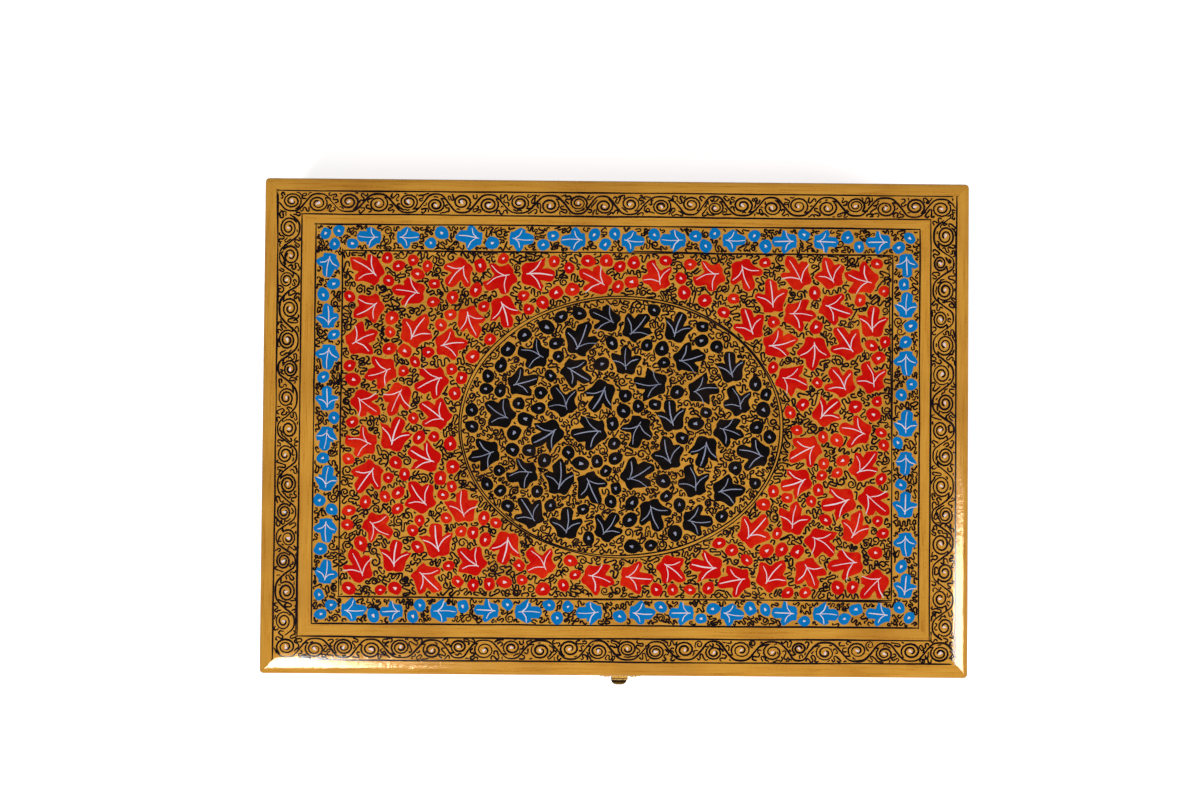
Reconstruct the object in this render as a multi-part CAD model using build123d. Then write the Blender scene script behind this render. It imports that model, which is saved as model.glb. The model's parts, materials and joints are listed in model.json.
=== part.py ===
from build123d import *

# Kashmiri papier mache box: a flat rectangular case with a hinged tray lid, made of paper pulp boards
# that are lapped, pinned and glued at the corners, lined with velvet, hung on two brass butt hinges and
# held shut by a brass hasp. Millimetres, +Z up. The origin is the centre of the underside, +X runs along
# the length and the hasp is at the front, on the -Y side.

import os
from math import cos, radians, sin, tan

# ---------------------------------------------------------------- driving dimensions
# Pulp boards
box_length = 254.0  # outside, along X
box_width = 178.0  # outside, along Y
wall_thickness = 7.0
case_wall_height = 56.0
rail_height = 13.4  # walls of the lid's tray
floor_thickness = 5.0
corner_lap = 3.5  # how much of a long wall is left outside a short wall's end
floor_lap = 3.5  # how far the floor stays inside the outer faces
corner_radius = 1.5
seam_edge_radius = 0.5  # outer edges along the seam, softened by sanding and lacquer
seam_gap = 0.25  # between the case's rim and the lid
flock_thickness = 0.6
flock_margin = 1.5

# Lid board: a flat field with a soft shoulder, a bevel and a rounded arris
lid_board_thickness = 6.0
bevel_width = 4.8
bevel_drop = 1.15
shoulder_width = 9.0
shoulder_drop = 0.35
arris_radius = 1.1

# Square cut brads that hold the lapped corners
corner_pin_side = 1.2
corner_pin_length = 16.0
corner_pin_cover = 0.8  # pulp that hides the brad's end
corner_pin_end_margin = 7.0  # from the top or bottom of the wall
case_pins_per_corner = 3
rail_pins_per_corner = 1

# Velvet lining on card
lining_thickness = 1.6
lining_drop = 5.0  # below the case's rim
floor_pad_thickness = 3.0
lid_pad_thickness = 4.0
pad_play = 0.3
pad_edge_radius = 1.2

# Hinges, let into the back wall and the back rail
hinge_length = 25.0
hinge_spacing = 150.0
hinge_knuckles = 3
hinge_leaf_thickness = 0.8
hinge_leaf_reach = 5.0  # from the pin's axis inwards
hinge_barrel_radius = 1.45
hinge_barrel_cover = 0.05  # from the barrel to the back face
hinge_pin_radius = 0.6
hinge_screw_spread = 15.0
hinge_screw_setback = 3.2  # from the pin's axis
knuckle_gap = 0.1
pin_fixed_clearance = 0.01
pin_running_clearance = 0.05
barrel_play = 0.15  # between a barrel and the other leaf
pocket_play = 0.3  # between a barrel and the boards
leaf_play = 0.05
lid_stop_angle = 105.0  # the bevelled back edges meet just past this angle
lid_stop_margin = 1.0

# Countersunk screws of the hinges; their heads are as deep as the leaf is thick
screw_head_radius = 1.3
screw_shank_radius = 0.6
screw_length = 6.5
screw_slot_width = 0.35
screw_slot_depth = 0.3
fastener_taper = 3.0  # degrees, on each side of a shank

# Hasp, nailed a little to the right of the middle
clasp_offset = 2.4
plate_thickness = 0.7
plate_corner_radius = 1.5
clasp_plate_width = 15.0
clasp_plate_height = 8.5
catch_plate_width = 15.0
catch_plate_height = 9.0
catch_plate_seat = 4.0  # from the rim down to the catch plate
clasp_axis_rise = 1.6  # above the seam
clasp_barrel_radius = 1.35
clasp_pin_radius = 0.55
clasp_barrel_play = 0.2
tongue_width = 5.8
tongue_centre_knuckle = 2.4
tongue_thickness = 0.7
tongue_play = 0.25  # between the tongue and the catch plate
tongue_drop = 13.0  # from the pin's axis to where the lip starts to curl
lip_bend_radius = 3.0
lip_bend_angle = 62.0
lip_straight = 3.5
lip_corner_radius = 2.2
nub_radius = 1.0
nub_height = 1.9
nub_chamfer = 0.35
window_play = 0.45  # around the nub
window_corner_radius = 0.5
nail_head_radius = 1.15
nail_head_height = 0.5
nail_shank_side = 0.9
nail_length = 5.0
nail_spread = 9.6

# ---------------------------------------------------------------- levels and places worked out from them
half_length = box_length / 2
half_width = box_width / 2
front_y = -half_width
back_y = half_width
case_base_z = flock_thickness
floor_top_z = case_base_z + floor_thickness
rim_z = case_base_z + case_wall_height
seam_z = rim_z + seam_gap / 2
rail_base_z = rim_z + seam_gap
board_base_z = rail_base_z + rail_height
top_z = board_base_z + lid_board_thickness

hinge_y = back_y - hinge_barrel_radius - hinge_barrel_cover
hinge_centres = {"left": -hinge_spacing / 2, "right": hinge_spacing / 2}
clasp_y = front_y - clasp_barrel_radius - clasp_barrel_play
clasp_z = seam_z + clasp_axis_rise
tongue_inner_y = front_y - plate_thickness - tongue_play
catch_plate_top_z = rim_z - catch_plate_seat
nub_z = catch_plate_top_z - catch_plate_height / 2

CASE, LID = -1, 1  # which way from the seam a hinge leaf lies
LEFT, RIGHT = -1, 1
FRONT, BACK = -1, 1


# ---------------------------------------------------------------- small helpers
def block(x_span, y_span, z_span):
    """A box between two corners, each span given as a pair in any order."""
    spans = [sorted(span) for span in (x_span, y_span, z_span)]
    size = [high - low for low, high in spans]
    centre = [(high + low) / 2 for low, high in spans]
    return Pos(*centre) * Box(*size)


def rod_along_x(radius, x_low, x_high, y, z):
    """A round rod parallel to X."""
    return Pos((x_low + x_high) / 2, y, z) * Rot(0, 90, 0) * Cylinder(radius, x_high - x_low)


def group(solids):
    """Several like pieces as one node."""
    return Compound(children=list(solids))


def without(shape, cutters):
    """The shape with each cutter taken out of it."""
    for cutter in cutters:
        shape -= cutter
    return shape


# ---------------------------------------------------------------- fasteners, pointing down from z = 0
def shank(outline, length):
    """A shank that tapers down from its outline."""
    return Rot(180, 0, 0) * extrude(outline, length, taper=fastener_taper)


def nail():
    """A brass nail: a flat round head on a square cut shank."""
    head = Pos(0, 0, nail_head_height / 2) * Cylinder(nail_head_radius, nail_head_height)
    return head + shank(Rectangle(nail_shank_side, nail_shank_side), nail_length)


def screw_body():
    """A countersunk screw without its slot, which is also the shape of its hole."""
    depth = hinge_leaf_thickness
    head = Pos(0, 0, -depth / 2) * Cone(screw_shank_radius, screw_head_radius, depth)
    threaded = shank(RegularPolygon(screw_shank_radius, 6), screw_length - depth)
    return head + Pos(0, 0, -depth) * threaded


def countersunk_screw():
    """A small brass screw whose slotted head ends at z = 0."""
    width, depth = screw_slot_width / 2, screw_slot_depth
    slot = block((-screw_head_radius, screw_head_radius), (-width, width), (-depth, 0))
    return screw_body() - slot


# ---------------------------------------------------------------- pulp boards
def floor_board():
    """The bottom board, which lies in a rebate round the foot of the walls."""
    x, y = half_length - floor_lap, half_width - floor_lap
    return block((-x, x), (-y, y), (case_base_z, floor_top_z))


def soften_seam(board, seam_level):
    """Rounds the outer edges of a board at its rim or at the foot of the lid."""
    near_x, near_y = half_length - corner_radius, half_width - corner_radius
    level_edges = board.edges().group_by(lambda edge: round(abs(edge.center().Z - seam_level), 6))[0]
    centres = [(edge, edge.center()) for edge in level_edges]
    outer = [edge for edge, place in centres if abs(place.X) > near_x or abs(place.Y) > near_y]
    return fillet(outer, seam_edge_radius)


def long_wall(side, z_low, z_high, seam_level):
    """A front or back board, lapped over the short walls and rounded at its outer corners."""
    outer = side * half_width
    inner = outer - side * wall_thickness
    lap_face = outer - side * corner_lap
    board = block((-half_length, half_length), (outer, inner), (z_low, z_high))
    for end in (LEFT, RIGHT):
        lap_end = end * (half_length - wall_thickness)
        board -= block((lap_end, end * half_length), (lap_face, inner), (z_low, z_high))
    upright_rows = board.edges().filter_by(Axis.Z).group_by(Axis.Y)
    board = fillet(upright_rows[0 if side == FRONT else -1], corner_radius)
    return soften_seam(board, seam_level)


def short_wall(side, z_low, z_high, seam_level):
    """A left or right board, which ends inside the laps of the long walls."""
    outer = side * half_length
    reach = half_width - corner_lap
    board = block((outer, outer - side * wall_thickness), (-reach, reach), (z_low, z_high))
    return soften_seam(board, seam_level)


def corner_pins(z_low, z_high, per_corner):
    """The hidden brads through the laps of one tray, as many in each corner."""
    first, last = z_low + corner_pin_end_margin, z_high - corner_pin_end_margin
    pitch = (last - first) / (per_corner - 1) if per_corner > 1 else 0
    pin_x = half_length - wall_thickness / 2
    pins = []
    for side in (FRONT, BACK):
        head_y = side * (half_width - corner_pin_cover)
        centre_y = head_y - side * corner_pin_length / 2
        for end in (LEFT, RIGHT):
            for i in range(per_corner):
                brad = Box(corner_pin_side, corner_pin_length, corner_pin_side)
                pins.append(Pos(end * pin_x, centre_y, first + i * pitch) * brad)
    return pins


def lid_edge_profile(span):
    """Section of the lid board across one span: foot, arrises, bevels, shoulders and flat top."""
    half = span / 2
    bevel_top = lid_board_thickness - shoulder_drop
    edge_top = bevel_top - bevel_drop
    bevel_end = half - bevel_width
    flat_end = bevel_end - shoulder_width
    top = lid_board_thickness
    lines = [Line((-half, 0), (half, 0)), Line((-flat_end, top), (flat_end, top))]
    for side in (-1, 1):
        lines.append(Line((side * half, 0), (side * half, edge_top)))
        lines.append(Line((side * half, edge_top), (side * bevel_end, bevel_top)))
        flat_corner = (side * flat_end, top)
        lines.append(TangentArc(flat_corner, (side * bevel_end, bevel_top), tangent=(side, 0)))
    section = make_face(Wire(lines))
    arrises = [v for v in section.vertices() if abs(abs(v.X) - half) < 1e-6 and v.Y > edge_top / 2]
    return fillet(arrises, arris_radius)


def lid_board():
    """The top board: two crossed sections give it mitred bevels and shoulders."""
    outline = extrude(RectangleRounded(box_length, box_width, corner_radius), lid_board_thickness)
    along_y = extrude(Plane.XZ * lid_edge_profile(box_length), half_width, both=True)
    along_x = extrude(Plane.YZ * lid_edge_profile(box_width), half_length, both=True)
    return Pos(0, 0, board_base_z) * (outline & along_y & along_x)


def back_groove(which):
    """What is bevelled off a back board so that the lid stops when the two bevels meet."""
    half_angle = radians((lid_stop_angle + lid_stop_margin) / 2)
    beyond = back_y - hinge_y + hinge_barrel_radius
    outer_y = hinge_y + beyond
    section = make_face(
        Polyline(
            (hinge_y, seam_z),
            (outer_y, seam_z),
            (outer_y, seam_z + which * beyond * tan(half_angle)),
            close=True,
        )
    )
    return extrude(Plane.YZ * section, half_length, both=True)


# ---------------------------------------------------------------- velvet lining
def long_lining(side):
    """A lined card against the front or back wall."""
    inner = side * (half_width - wall_thickness)
    x = half_length - wall_thickness
    return block((-x, x), (inner, inner - side * lining_thickness), (floor_top_z, rim_z - lining_drop))


def short_lining(side):
    """A lined card against the left or right wall, between the long ones."""
    inner = side * (half_length - wall_thickness)
    y = half_width - wall_thickness - lining_thickness - pad_play
    return block((inner, inner - side * lining_thickness), (-y, y), (floor_top_z, rim_z - lining_drop))


def floor_pad():
    """The soft pad on the floor, with a rounded upper edge."""
    inset = wall_thickness + lining_thickness + pad_play
    x, y = half_length - inset, half_width - inset
    pad = block((-x, x), (-y, y), (floor_top_z, floor_top_z + floor_pad_thickness))
    return fillet(pad.faces().sort_by(Axis.Z)[-1].edges(), pad_edge_radius)


def lid_pad():
    """The soft pad under the lid board, with a rounded lower edge."""
    x, y = half_length - wall_thickness - pad_play, half_width - wall_thickness - pad_play
    pad = block((-x, x), (-y, y), (board_base_z - lid_pad_thickness, board_base_z))
    return fillet(pad.faces().sort_by(Axis.Z)[0].edges(), pad_edge_radius)


# ---------------------------------------------------------------- hinges
def knuckle_span(index, centre_x, margin):
    """Where one knuckle of a hinge starts and ends along X, grown by the margin."""
    pitch = hinge_length / hinge_knuckles
    low = centre_x - hinge_length / 2 + index * pitch
    return low + knuckle_gap / 2 - margin, low + pitch - knuckle_gap / 2 + margin


def hinge_leaf(which, centre_x):
    """One leaf: a plate let into its board, with knuckles round the pin. The case has the outer ones."""
    near, far = seam_z + which * seam_gap / 2, seam_z + which * (seam_gap / 2 + hinge_leaf_thickness)
    half = hinge_length / 2
    leaf = block((centre_x - half, centre_x + half), (hinge_y - hinge_leaf_reach, hinge_y), (near, far))
    first_own = 0 if which == CASE else 1
    for index in range(hinge_knuckles):
        own = index % 2 == first_own
        low, high = knuckle_span(index, centre_x, 0 if own else knuckle_gap)
        if own:
            leaf += rod_along_x(hinge_barrel_radius, low, high, hinge_y, seam_z)
        else:
            leaf -= rod_along_x(hinge_barrel_radius + barrel_play, low, high, hinge_y, seam_z)
    clearance = pin_fixed_clearance if which == CASE else pin_running_clearance
    bore = rod_along_x(hinge_pin_radius + clearance, centre_x - half, centre_x + half, hinge_y, seam_z)
    return without(leaf - bore, hinge_screw_places(which, centre_x, screw_body()))


def hinge_pin(centre_x):
    """The pin, held by the case leaf's knuckles."""
    half = hinge_length / 2
    return rod_along_x(hinge_pin_radius, centre_x - half, centre_x + half, hinge_y, seam_z)


def hinge_screw_places(which, centre_x, piece):
    """Copies of a screw, or of its hole, in one leaf. A lid leaf's point upwards."""
    face_z = seam_z + which * seam_gap / 2
    turn = Rot(0, 0, 0) if which == CASE else Rot(180, 0, 0)
    return [
        Pos(centre_x + side * hinge_screw_spread / 2, hinge_y - hinge_screw_setback, face_z) * turn * piece
        for side in (LEFT, RIGHT)
    ]


def hinge_pocket(which, centre_x):
    """What is cut from a board for one leaf, its half of the barrel and the other leaf's knuckles."""
    half, deep = hinge_length / 2, seam_z + which * (seam_gap / 2 + hinge_leaf_thickness)
    recess = block(
        (centre_x - half - leaf_play, centre_x + half + leaf_play),
        (hinge_y - hinge_leaf_reach - leaf_play, hinge_y),
        (seam_z, deep),
    )
    room = half + pocket_play
    barrel = rod_along_x(hinge_barrel_radius + pocket_play, centre_x - room, centre_x + room, hinge_y, seam_z)
    return recess + barrel


def hinge_cuts(which):
    """Everything that the two hinges take out of one back board."""
    cuts = [back_groove(which)]
    for centre_x in hinge_centres.values():
        cuts.append(hinge_pocket(which, centre_x))
        cuts += hinge_screw_places(which, centre_x, screw_body())
    return cuts


# ---------------------------------------------------------------- hasp
def front_plate(width, z_low, z_high):
    """A thin stamped plate on the front, with rounded corners."""
    height = z_high - z_low
    sheet = extrude(Plane.XZ * RectangleRounded(width, height, plate_corner_radius), plate_thickness)
    return Pos(clasp_offset, front_y, (z_low + z_high) / 2) * sheet


def front_nails(z):
    """The pair of nails through one front plate."""
    places = [clasp_offset + side * nail_spread / 2 for side in (LEFT, RIGHT)]
    return [Pos(x, front_y - plate_thickness, z) * Rot(90, 0, 0) * nail() for x in places]


clasp_plate_low_z = clasp_z + clasp_barrel_radius + clasp_barrel_play
clasp_plate_high_z = clasp_plate_low_z + clasp_plate_height
clasp_nail_z = (clasp_plate_low_z + clasp_plate_high_z) / 2


def clasp_plate():
    """The plate on the lid's front rail, with one rolled knuckle that carries the tongue's pin."""
    low, high = clasp_offset - tongue_centre_knuckle / 2, clasp_offset + tongue_centre_knuckle / 2
    plate = front_plate(clasp_plate_width, clasp_plate_low_z, clasp_plate_high_z)
    plate += block((low, high), (front_y, front_y - plate_thickness), (clasp_z, clasp_nail_z))
    plate += rod_along_x(clasp_barrel_radius, low, high, clasp_y, clasp_z)
    plate -= rod_along_x(clasp_pin_radius + pin_fixed_clearance, low, high, clasp_y, clasp_z)
    return without(plate, front_nails(clasp_nail_z))


def clasp_pin():
    """The tongue's pin, as long as the tongue is wide."""
    half = tongue_width / 2
    return rod_along_x(clasp_pin_radius, clasp_offset - half, clasp_offset + half, clasp_y, clasp_z)


def clasp_tongue():
    """The swinging tongue: two rolled knuckles, a window over the nub and a lip curled out for a finger."""
    middle_y = tongue_inner_y - tongue_thickness / 2
    bend_z = clasp_z - tongue_drop
    angle = radians(lip_bend_angle)
    bend_end = (
        middle_y - lip_bend_radius * (1 - cos(angle)),
        bend_z - lip_bend_radius * sin(angle),
    )
    tip = (bend_end[0] - lip_straight * sin(angle), bend_end[1] - lip_straight * cos(angle))
    half_turn = angle / 2
    bend_middle = (
        middle_y - lip_bend_radius * (1 - cos(half_turn)),
        bend_z - lip_bend_radius * sin(half_turn),
    )
    spine = Wire(
        [
            Line((middle_y, clasp_z), (middle_y, bend_z)),
            ThreePointArc((middle_y, bend_z), bend_middle, bend_end),
            Line(bend_end, tip),
        ]
    )
    section = trace(spine, tongue_thickness)
    tongue = extrude(Plane.YZ * section, tongue_width / 2, both=True)
    lip_end = tongue.faces().sort_by(Axis.Z)[0]
    lip_corners = [e for e in lip_end.edges() if abs(e.tangent_at(0.5).X) < 1e-6]
    tongue = fillet(lip_corners, lip_corner_radius)

    half, knuckle = tongue_width / 2, tongue_centre_knuckle / 2 + knuckle_gap
    for low, high in ((-half, -knuckle), (knuckle, half)):
        tongue += rod_along_x(clasp_barrel_radius, low, high, clasp_y, clasp_z)
    tongue -= rod_along_x(clasp_barrel_radius + clasp_barrel_play, -knuckle, knuckle, clasp_y, clasp_z)
    tongue -= rod_along_x(clasp_pin_radius + pin_running_clearance, -half, half, clasp_y, clasp_z)
    return Pos(clasp_offset, 0, 0) * (tongue - tongue_window())


def tongue_window():
    """The round-cornered hole over the nub, about x = 0 as the tongue is made."""
    size = 2 * (nub_radius + window_play)
    outline = Plane.XZ * RectangleRounded(size, size, window_corner_radius)
    opening = extrude(outline, tongue_thickness, both=True)
    return Pos(0, tongue_inner_y - tongue_thickness / 2, nub_z) * opening


def catch_plate():
    """The plate on the case's front wall, with the nub that the tongue snaps over."""
    low_z = catch_plate_top_z - catch_plate_height
    plate = front_plate(catch_plate_width, low_z, catch_plate_top_z)
    nub = Pos(0, 0, nub_height / 2) * Cylinder(nub_radius, nub_height)
    nub = chamfer(nub.faces().sort_by(Axis.Z)[-1].edges(), nub_chamfer)
    plate += Pos(clasp_offset, front_y - plate_thickness, nub_z) * Rot(90, 0, 0) * nub
    return without(plate, front_nails(nub_z))


# ---------------------------------------------------------------- the assembly
def build_case():
    """The case's boards, lining and fixings, as node name to shape."""
    span = case_base_z, rim_z
    pins = corner_pins(*span, case_pins_per_corner)
    floor = floor_board()
    catch_nails = front_nails(nub_z)
    flock_x, flock_y = half_length - flock_margin, half_width - flock_margin
    nodes = {
        "case_floor": floor,
        "case_front_wall": without(long_wall(FRONT, *span, rim_z), [floor, *pins, *catch_nails]),
        "case_back_wall": without(long_wall(BACK, *span, rim_z), [floor, *pins, *hinge_cuts(CASE)]),
        "case_left_wall": without(short_wall(LEFT, *span, rim_z), [floor, *pins]),
        "case_right_wall": without(short_wall(RIGHT, *span, rim_z), [floor, *pins]),
        "case_corner_pins": group(pins),
        "base_flock": block((-flock_x, flock_x), (-flock_y, flock_y), (0, case_base_z)),
        "lining_front": long_lining(FRONT),
        "lining_back": long_lining(BACK),
        "lining_left": short_lining(LEFT),
        "lining_right": short_lining(RIGHT),
        "floor_pad": floor_pad(),
        "clasp_catch_plate": catch_plate(),
        "clasp_catch_nails": group(catch_nails),
    }
    screws = []
    for side, centre_x in hinge_centres.items():
        nodes[f"hinge_{side}_case_leaf"] = hinge_leaf(CASE, centre_x)
        nodes[f"hinge_{side}_pin"] = hinge_pin(centre_x)
        screws += hinge_screw_places(CASE, centre_x, countersunk_screw())
    nodes["hinge_case_screws"] = group(screws)
    return nodes


def build_lid():
    """The lid's boards, pad and fixings, as node name to shape."""
    span = rail_base_z, board_base_z
    pins = corner_pins(*span, rail_pins_per_corner)
    plate_nails = front_nails(clasp_nail_z)
    nodes = {
        "lid_board": lid_board(),
        "lid_front_rail": without(long_wall(FRONT, *span, rail_base_z), [*pins, *plate_nails]),
        "lid_back_rail": without(long_wall(BACK, *span, rail_base_z), [*pins, *hinge_cuts(LID)]),
        "lid_left_rail": without(short_wall(LEFT, *span, rail_base_z), pins),
        "lid_right_rail": without(short_wall(RIGHT, *span, rail_base_z), pins),
        "lid_corner_pins": group(pins),
        "lid_pad": lid_pad(),
        "clasp_plate": clasp_plate(),
        "clasp_plate_nails": group(plate_nails),
        "clasp_pin": clasp_pin(),
    }
    screws = []
    for side, centre_x in hinge_centres.items():
        nodes[f"hinge_{side}_lid_leaf"] = hinge_leaf(LID, centre_x)
        screws += hinge_screw_places(LID, centre_x, countersunk_screw())
    nodes["hinge_lid_screws"] = group(screws)
    return nodes


def main():
    """Builds every node and writes it as its own STEP file."""
    os.makedirs("parts", exist_ok=True)
    nodes = {**build_case(), **build_lid(), "clasp_tongue": clasp_tongue()}
    for name, shape in nodes.items():
        export_step(shape, f"parts/{name}.step")
    print(f"{len(nodes)} nodes; hinge axis y {hinge_y:.3f} z {seam_z:.3f}")
    print(f"clasp axis y {clasp_y:.3f} z {clasp_z:.3f}; top {top_z:.3f}")


main()
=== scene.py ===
"""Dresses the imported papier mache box: gold lacquer, painted chinar leaves, velvet lining and brass.

Drawing is done flat, in millimetres, on a Canvas for each painted face. Brush strokes and leaves become thin
closed meshes there and are then laid on the face. Everything else is in metres, in the frame of the model.
"""

from __future__ import annotations

import copy
import json
import logging
import math
from dataclasses import dataclass, field, replace
from enum import Enum
from functools import cached_property, partialmethod
from itertools import product
from typing import Callable, Iterable, Sequence

import bpy
import bmesh
import numpy as np
from mathutils import Matrix, Vector

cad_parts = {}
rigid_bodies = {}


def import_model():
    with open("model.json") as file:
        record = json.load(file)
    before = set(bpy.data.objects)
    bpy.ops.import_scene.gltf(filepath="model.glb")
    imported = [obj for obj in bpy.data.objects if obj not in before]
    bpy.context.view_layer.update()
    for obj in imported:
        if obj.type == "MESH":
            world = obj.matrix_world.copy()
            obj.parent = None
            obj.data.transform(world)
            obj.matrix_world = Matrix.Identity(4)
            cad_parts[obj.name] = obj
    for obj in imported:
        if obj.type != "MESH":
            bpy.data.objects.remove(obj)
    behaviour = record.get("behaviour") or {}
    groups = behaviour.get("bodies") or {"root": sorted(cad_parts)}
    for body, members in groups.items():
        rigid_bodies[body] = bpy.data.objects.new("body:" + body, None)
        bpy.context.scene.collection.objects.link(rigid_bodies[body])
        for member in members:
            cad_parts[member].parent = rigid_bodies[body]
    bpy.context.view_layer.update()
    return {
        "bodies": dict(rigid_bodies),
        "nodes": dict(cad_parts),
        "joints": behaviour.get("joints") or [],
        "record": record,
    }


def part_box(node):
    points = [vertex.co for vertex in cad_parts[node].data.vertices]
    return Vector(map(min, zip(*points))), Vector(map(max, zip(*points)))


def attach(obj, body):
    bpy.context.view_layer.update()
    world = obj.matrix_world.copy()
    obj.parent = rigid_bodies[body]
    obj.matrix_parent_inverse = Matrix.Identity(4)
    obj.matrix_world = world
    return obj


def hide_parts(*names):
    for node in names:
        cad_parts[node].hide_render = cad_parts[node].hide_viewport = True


LOG = logging.getLogger("papier_mache_box")
MM = 0.001
TAU = 2 * math.pi
PLACES = ("front", "back", "left", "right")  # of the boards, in their nodes' names
BLACK, WHITE = (0.0, 0.0, 0.0), (1.0, 1.0, 1.0)
Points = np.ndarray
Triple = tuple[float, float, float]
Colour = Triple
Span = tuple[float, float]
Test = Callable[[Points], Points]  # which of some points it holds for
Inputs = dict[str | int, object]


def srgb(red: int, green: int, blue: int) -> Colour:
    """A colour picked on a 0 to 255 scale, as the linear values that shaders take."""
    shares = (red / 255, green / 255, blue / 255)
    return tuple(c / 12.92 if c <= 0.04045 else ((c + 0.055) / 1.055) ** 2.4 for c in shares)


def box_of(node: str) -> Points:
    """The low and the high corner of a CAD node, in metres."""
    return np.array([tuple(corner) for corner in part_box(node)])


def stand(name: str, data: bpy.types.ID) -> bpy.types.Object:
    """Puts a new object in the scene.

    Args:
        name: its name.
        data: its mesh, lamp or camera.

    Returns:
        The object.
    """
    made = bpy.data.objects.new(name, data)
    bpy.context.scene.collection.objects.link(made)
    return made


def worked_out(holder: bpy.types.Object) -> bpy.types.Mesh:
    """An object's mesh with its modifiers carried out."""
    return bpy.data.meshes.new_from_object(holder.evaluated_get(bpy.context.evaluated_depsgraph_get()))


# ---------------- named options
class Body(Enum):
    """The rigid bodies that a piece can ride on."""

    CASE = "case"
    LID = "lid"


class Side(Enum):
    """An upright side, by the direction that runs to the right along it."""

    FRONT = (1, 0, 0)
    BACK = (-1, 0, 0)
    RIGHT = (0, 1, 0)
    LEFT = (0, -1, 0)


class Grain(Enum):
    """Which way the gilder's brush went over a board."""

    ALONG_X = "x"
    ALONG_Y = "y"
    ROUND_THE_EDGE = "frame"


class Squiggle(Enum):
    """The painter's ways of filling a bare patch, the largest first."""

    MEANDER = "meander"
    CURL = "curl"
    TICK = "tick"
    DOT = "dot"


# ---------------- node building
class Signal:
    """A value on its way between nodes. Arithmetic on it adds Math nodes."""

    def __init__(self, sheet: NodeSheet, socket: bpy.types.NodeSocket) -> None:
        """Wraps an output socket of one of the sheet's nodes."""
        self.sheet, self.socket = sheet, socket

    def maths(self, operation: str, *others: Signal | float, swapped: bool = False) -> Signal:
        """One Math node on this value and others, with this one last if swapped."""
        values = [*others, self] if swapped else [self, *others]
        return self.sheet.value("ShaderNodeMath", dict(enumerate(values)), operation=operation)

    __add__ = __radd__ = partialmethod(maths, "ADD")
    __sub__ = partialmethod(maths, "SUBTRACT")
    __rsub__ = partialmethod(maths, "SUBTRACT", swapped=True)
    __mul__ = __rmul__ = partialmethod(maths, "MULTIPLY")
    __lt__ = partialmethod(maths, "LESS_THAN")  # a comparison gives one or nought
    __gt__ = partialmethod(maths, "GREATER_THAN")
    size = partialmethod(maths, "ABSOLUTE")
    least = partialmethod(maths, "MINIMUM")


class NodeSheet:
    """A node tree under construction."""

    def __init__(self, tree: bpy.types.NodeTree) -> None:
        """Starts on a tree, which is emptied."""
        self.tree = tree
        tree.nodes.clear()

    def node(self, kind: str, inputs: Inputs | None = None, **settings: object) -> bpy.types.Node:
        """Adds a node.

        Args:
            kind: the node's type.
            inputs: a value, Signal or socket for each input that isn't left as it is.
            settings: its properties, set first, with a ramp's stops as (place, colour) pairs.

        Returns:
            The node.
        """
        made = self.tree.nodes.new(kind)
        for name, value in settings.items():
            if name == "stops":
                for element, (place, colour) in zip(made.color_ramp.elements, value):
                    element.position, element.color = place, (*colour, 1.0)
            else:
                setattr(made, name, value)
        for name, value in (inputs or {}).items():
            if isinstance(value, Signal):
                value = value.socket
            if isinstance(value, bpy.types.NodeSocket):
                self.tree.links.new(value, made.inputs[name])
            else:
                made.inputs[name].default_value = value
        return made

    def value(self, kind: str, inputs: Inputs | None = None, **settings: object) -> Signal:
        """The first output of a new node, which is made as node makes it."""
        return Signal(self, self.node(kind, inputs, **settings).outputs[0])

    def blend(self, share: Signal, one: Signal | Colour, other: Signal | Colour) -> Signal:
        """Two colours mixed.

        Args:
            share: how much of the second one is taken.
            one: the first.
            other: the second.

        Returns:
            The mixture.
        """
        one, other = [(*c, 1.0) if isinstance(c, tuple) else c for c in (one, other)]
        mix = self.node("ShaderNodeMix", {0: share, 6: one, 7: other}, data_type="RGBA")
        return Signal(self, mix.outputs[2])

    def rays(self) -> list[Signal]:
        """Whether a ray is a camera, a glossy or a transmission one: one for yes, nought for no."""
        path = self.node("ShaderNodeLightPath")
        return [Signal(self, path.outputs[f"Is {kind} Ray"]) for kind in ("Camera", "Glossy", "Transmission")]


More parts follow.
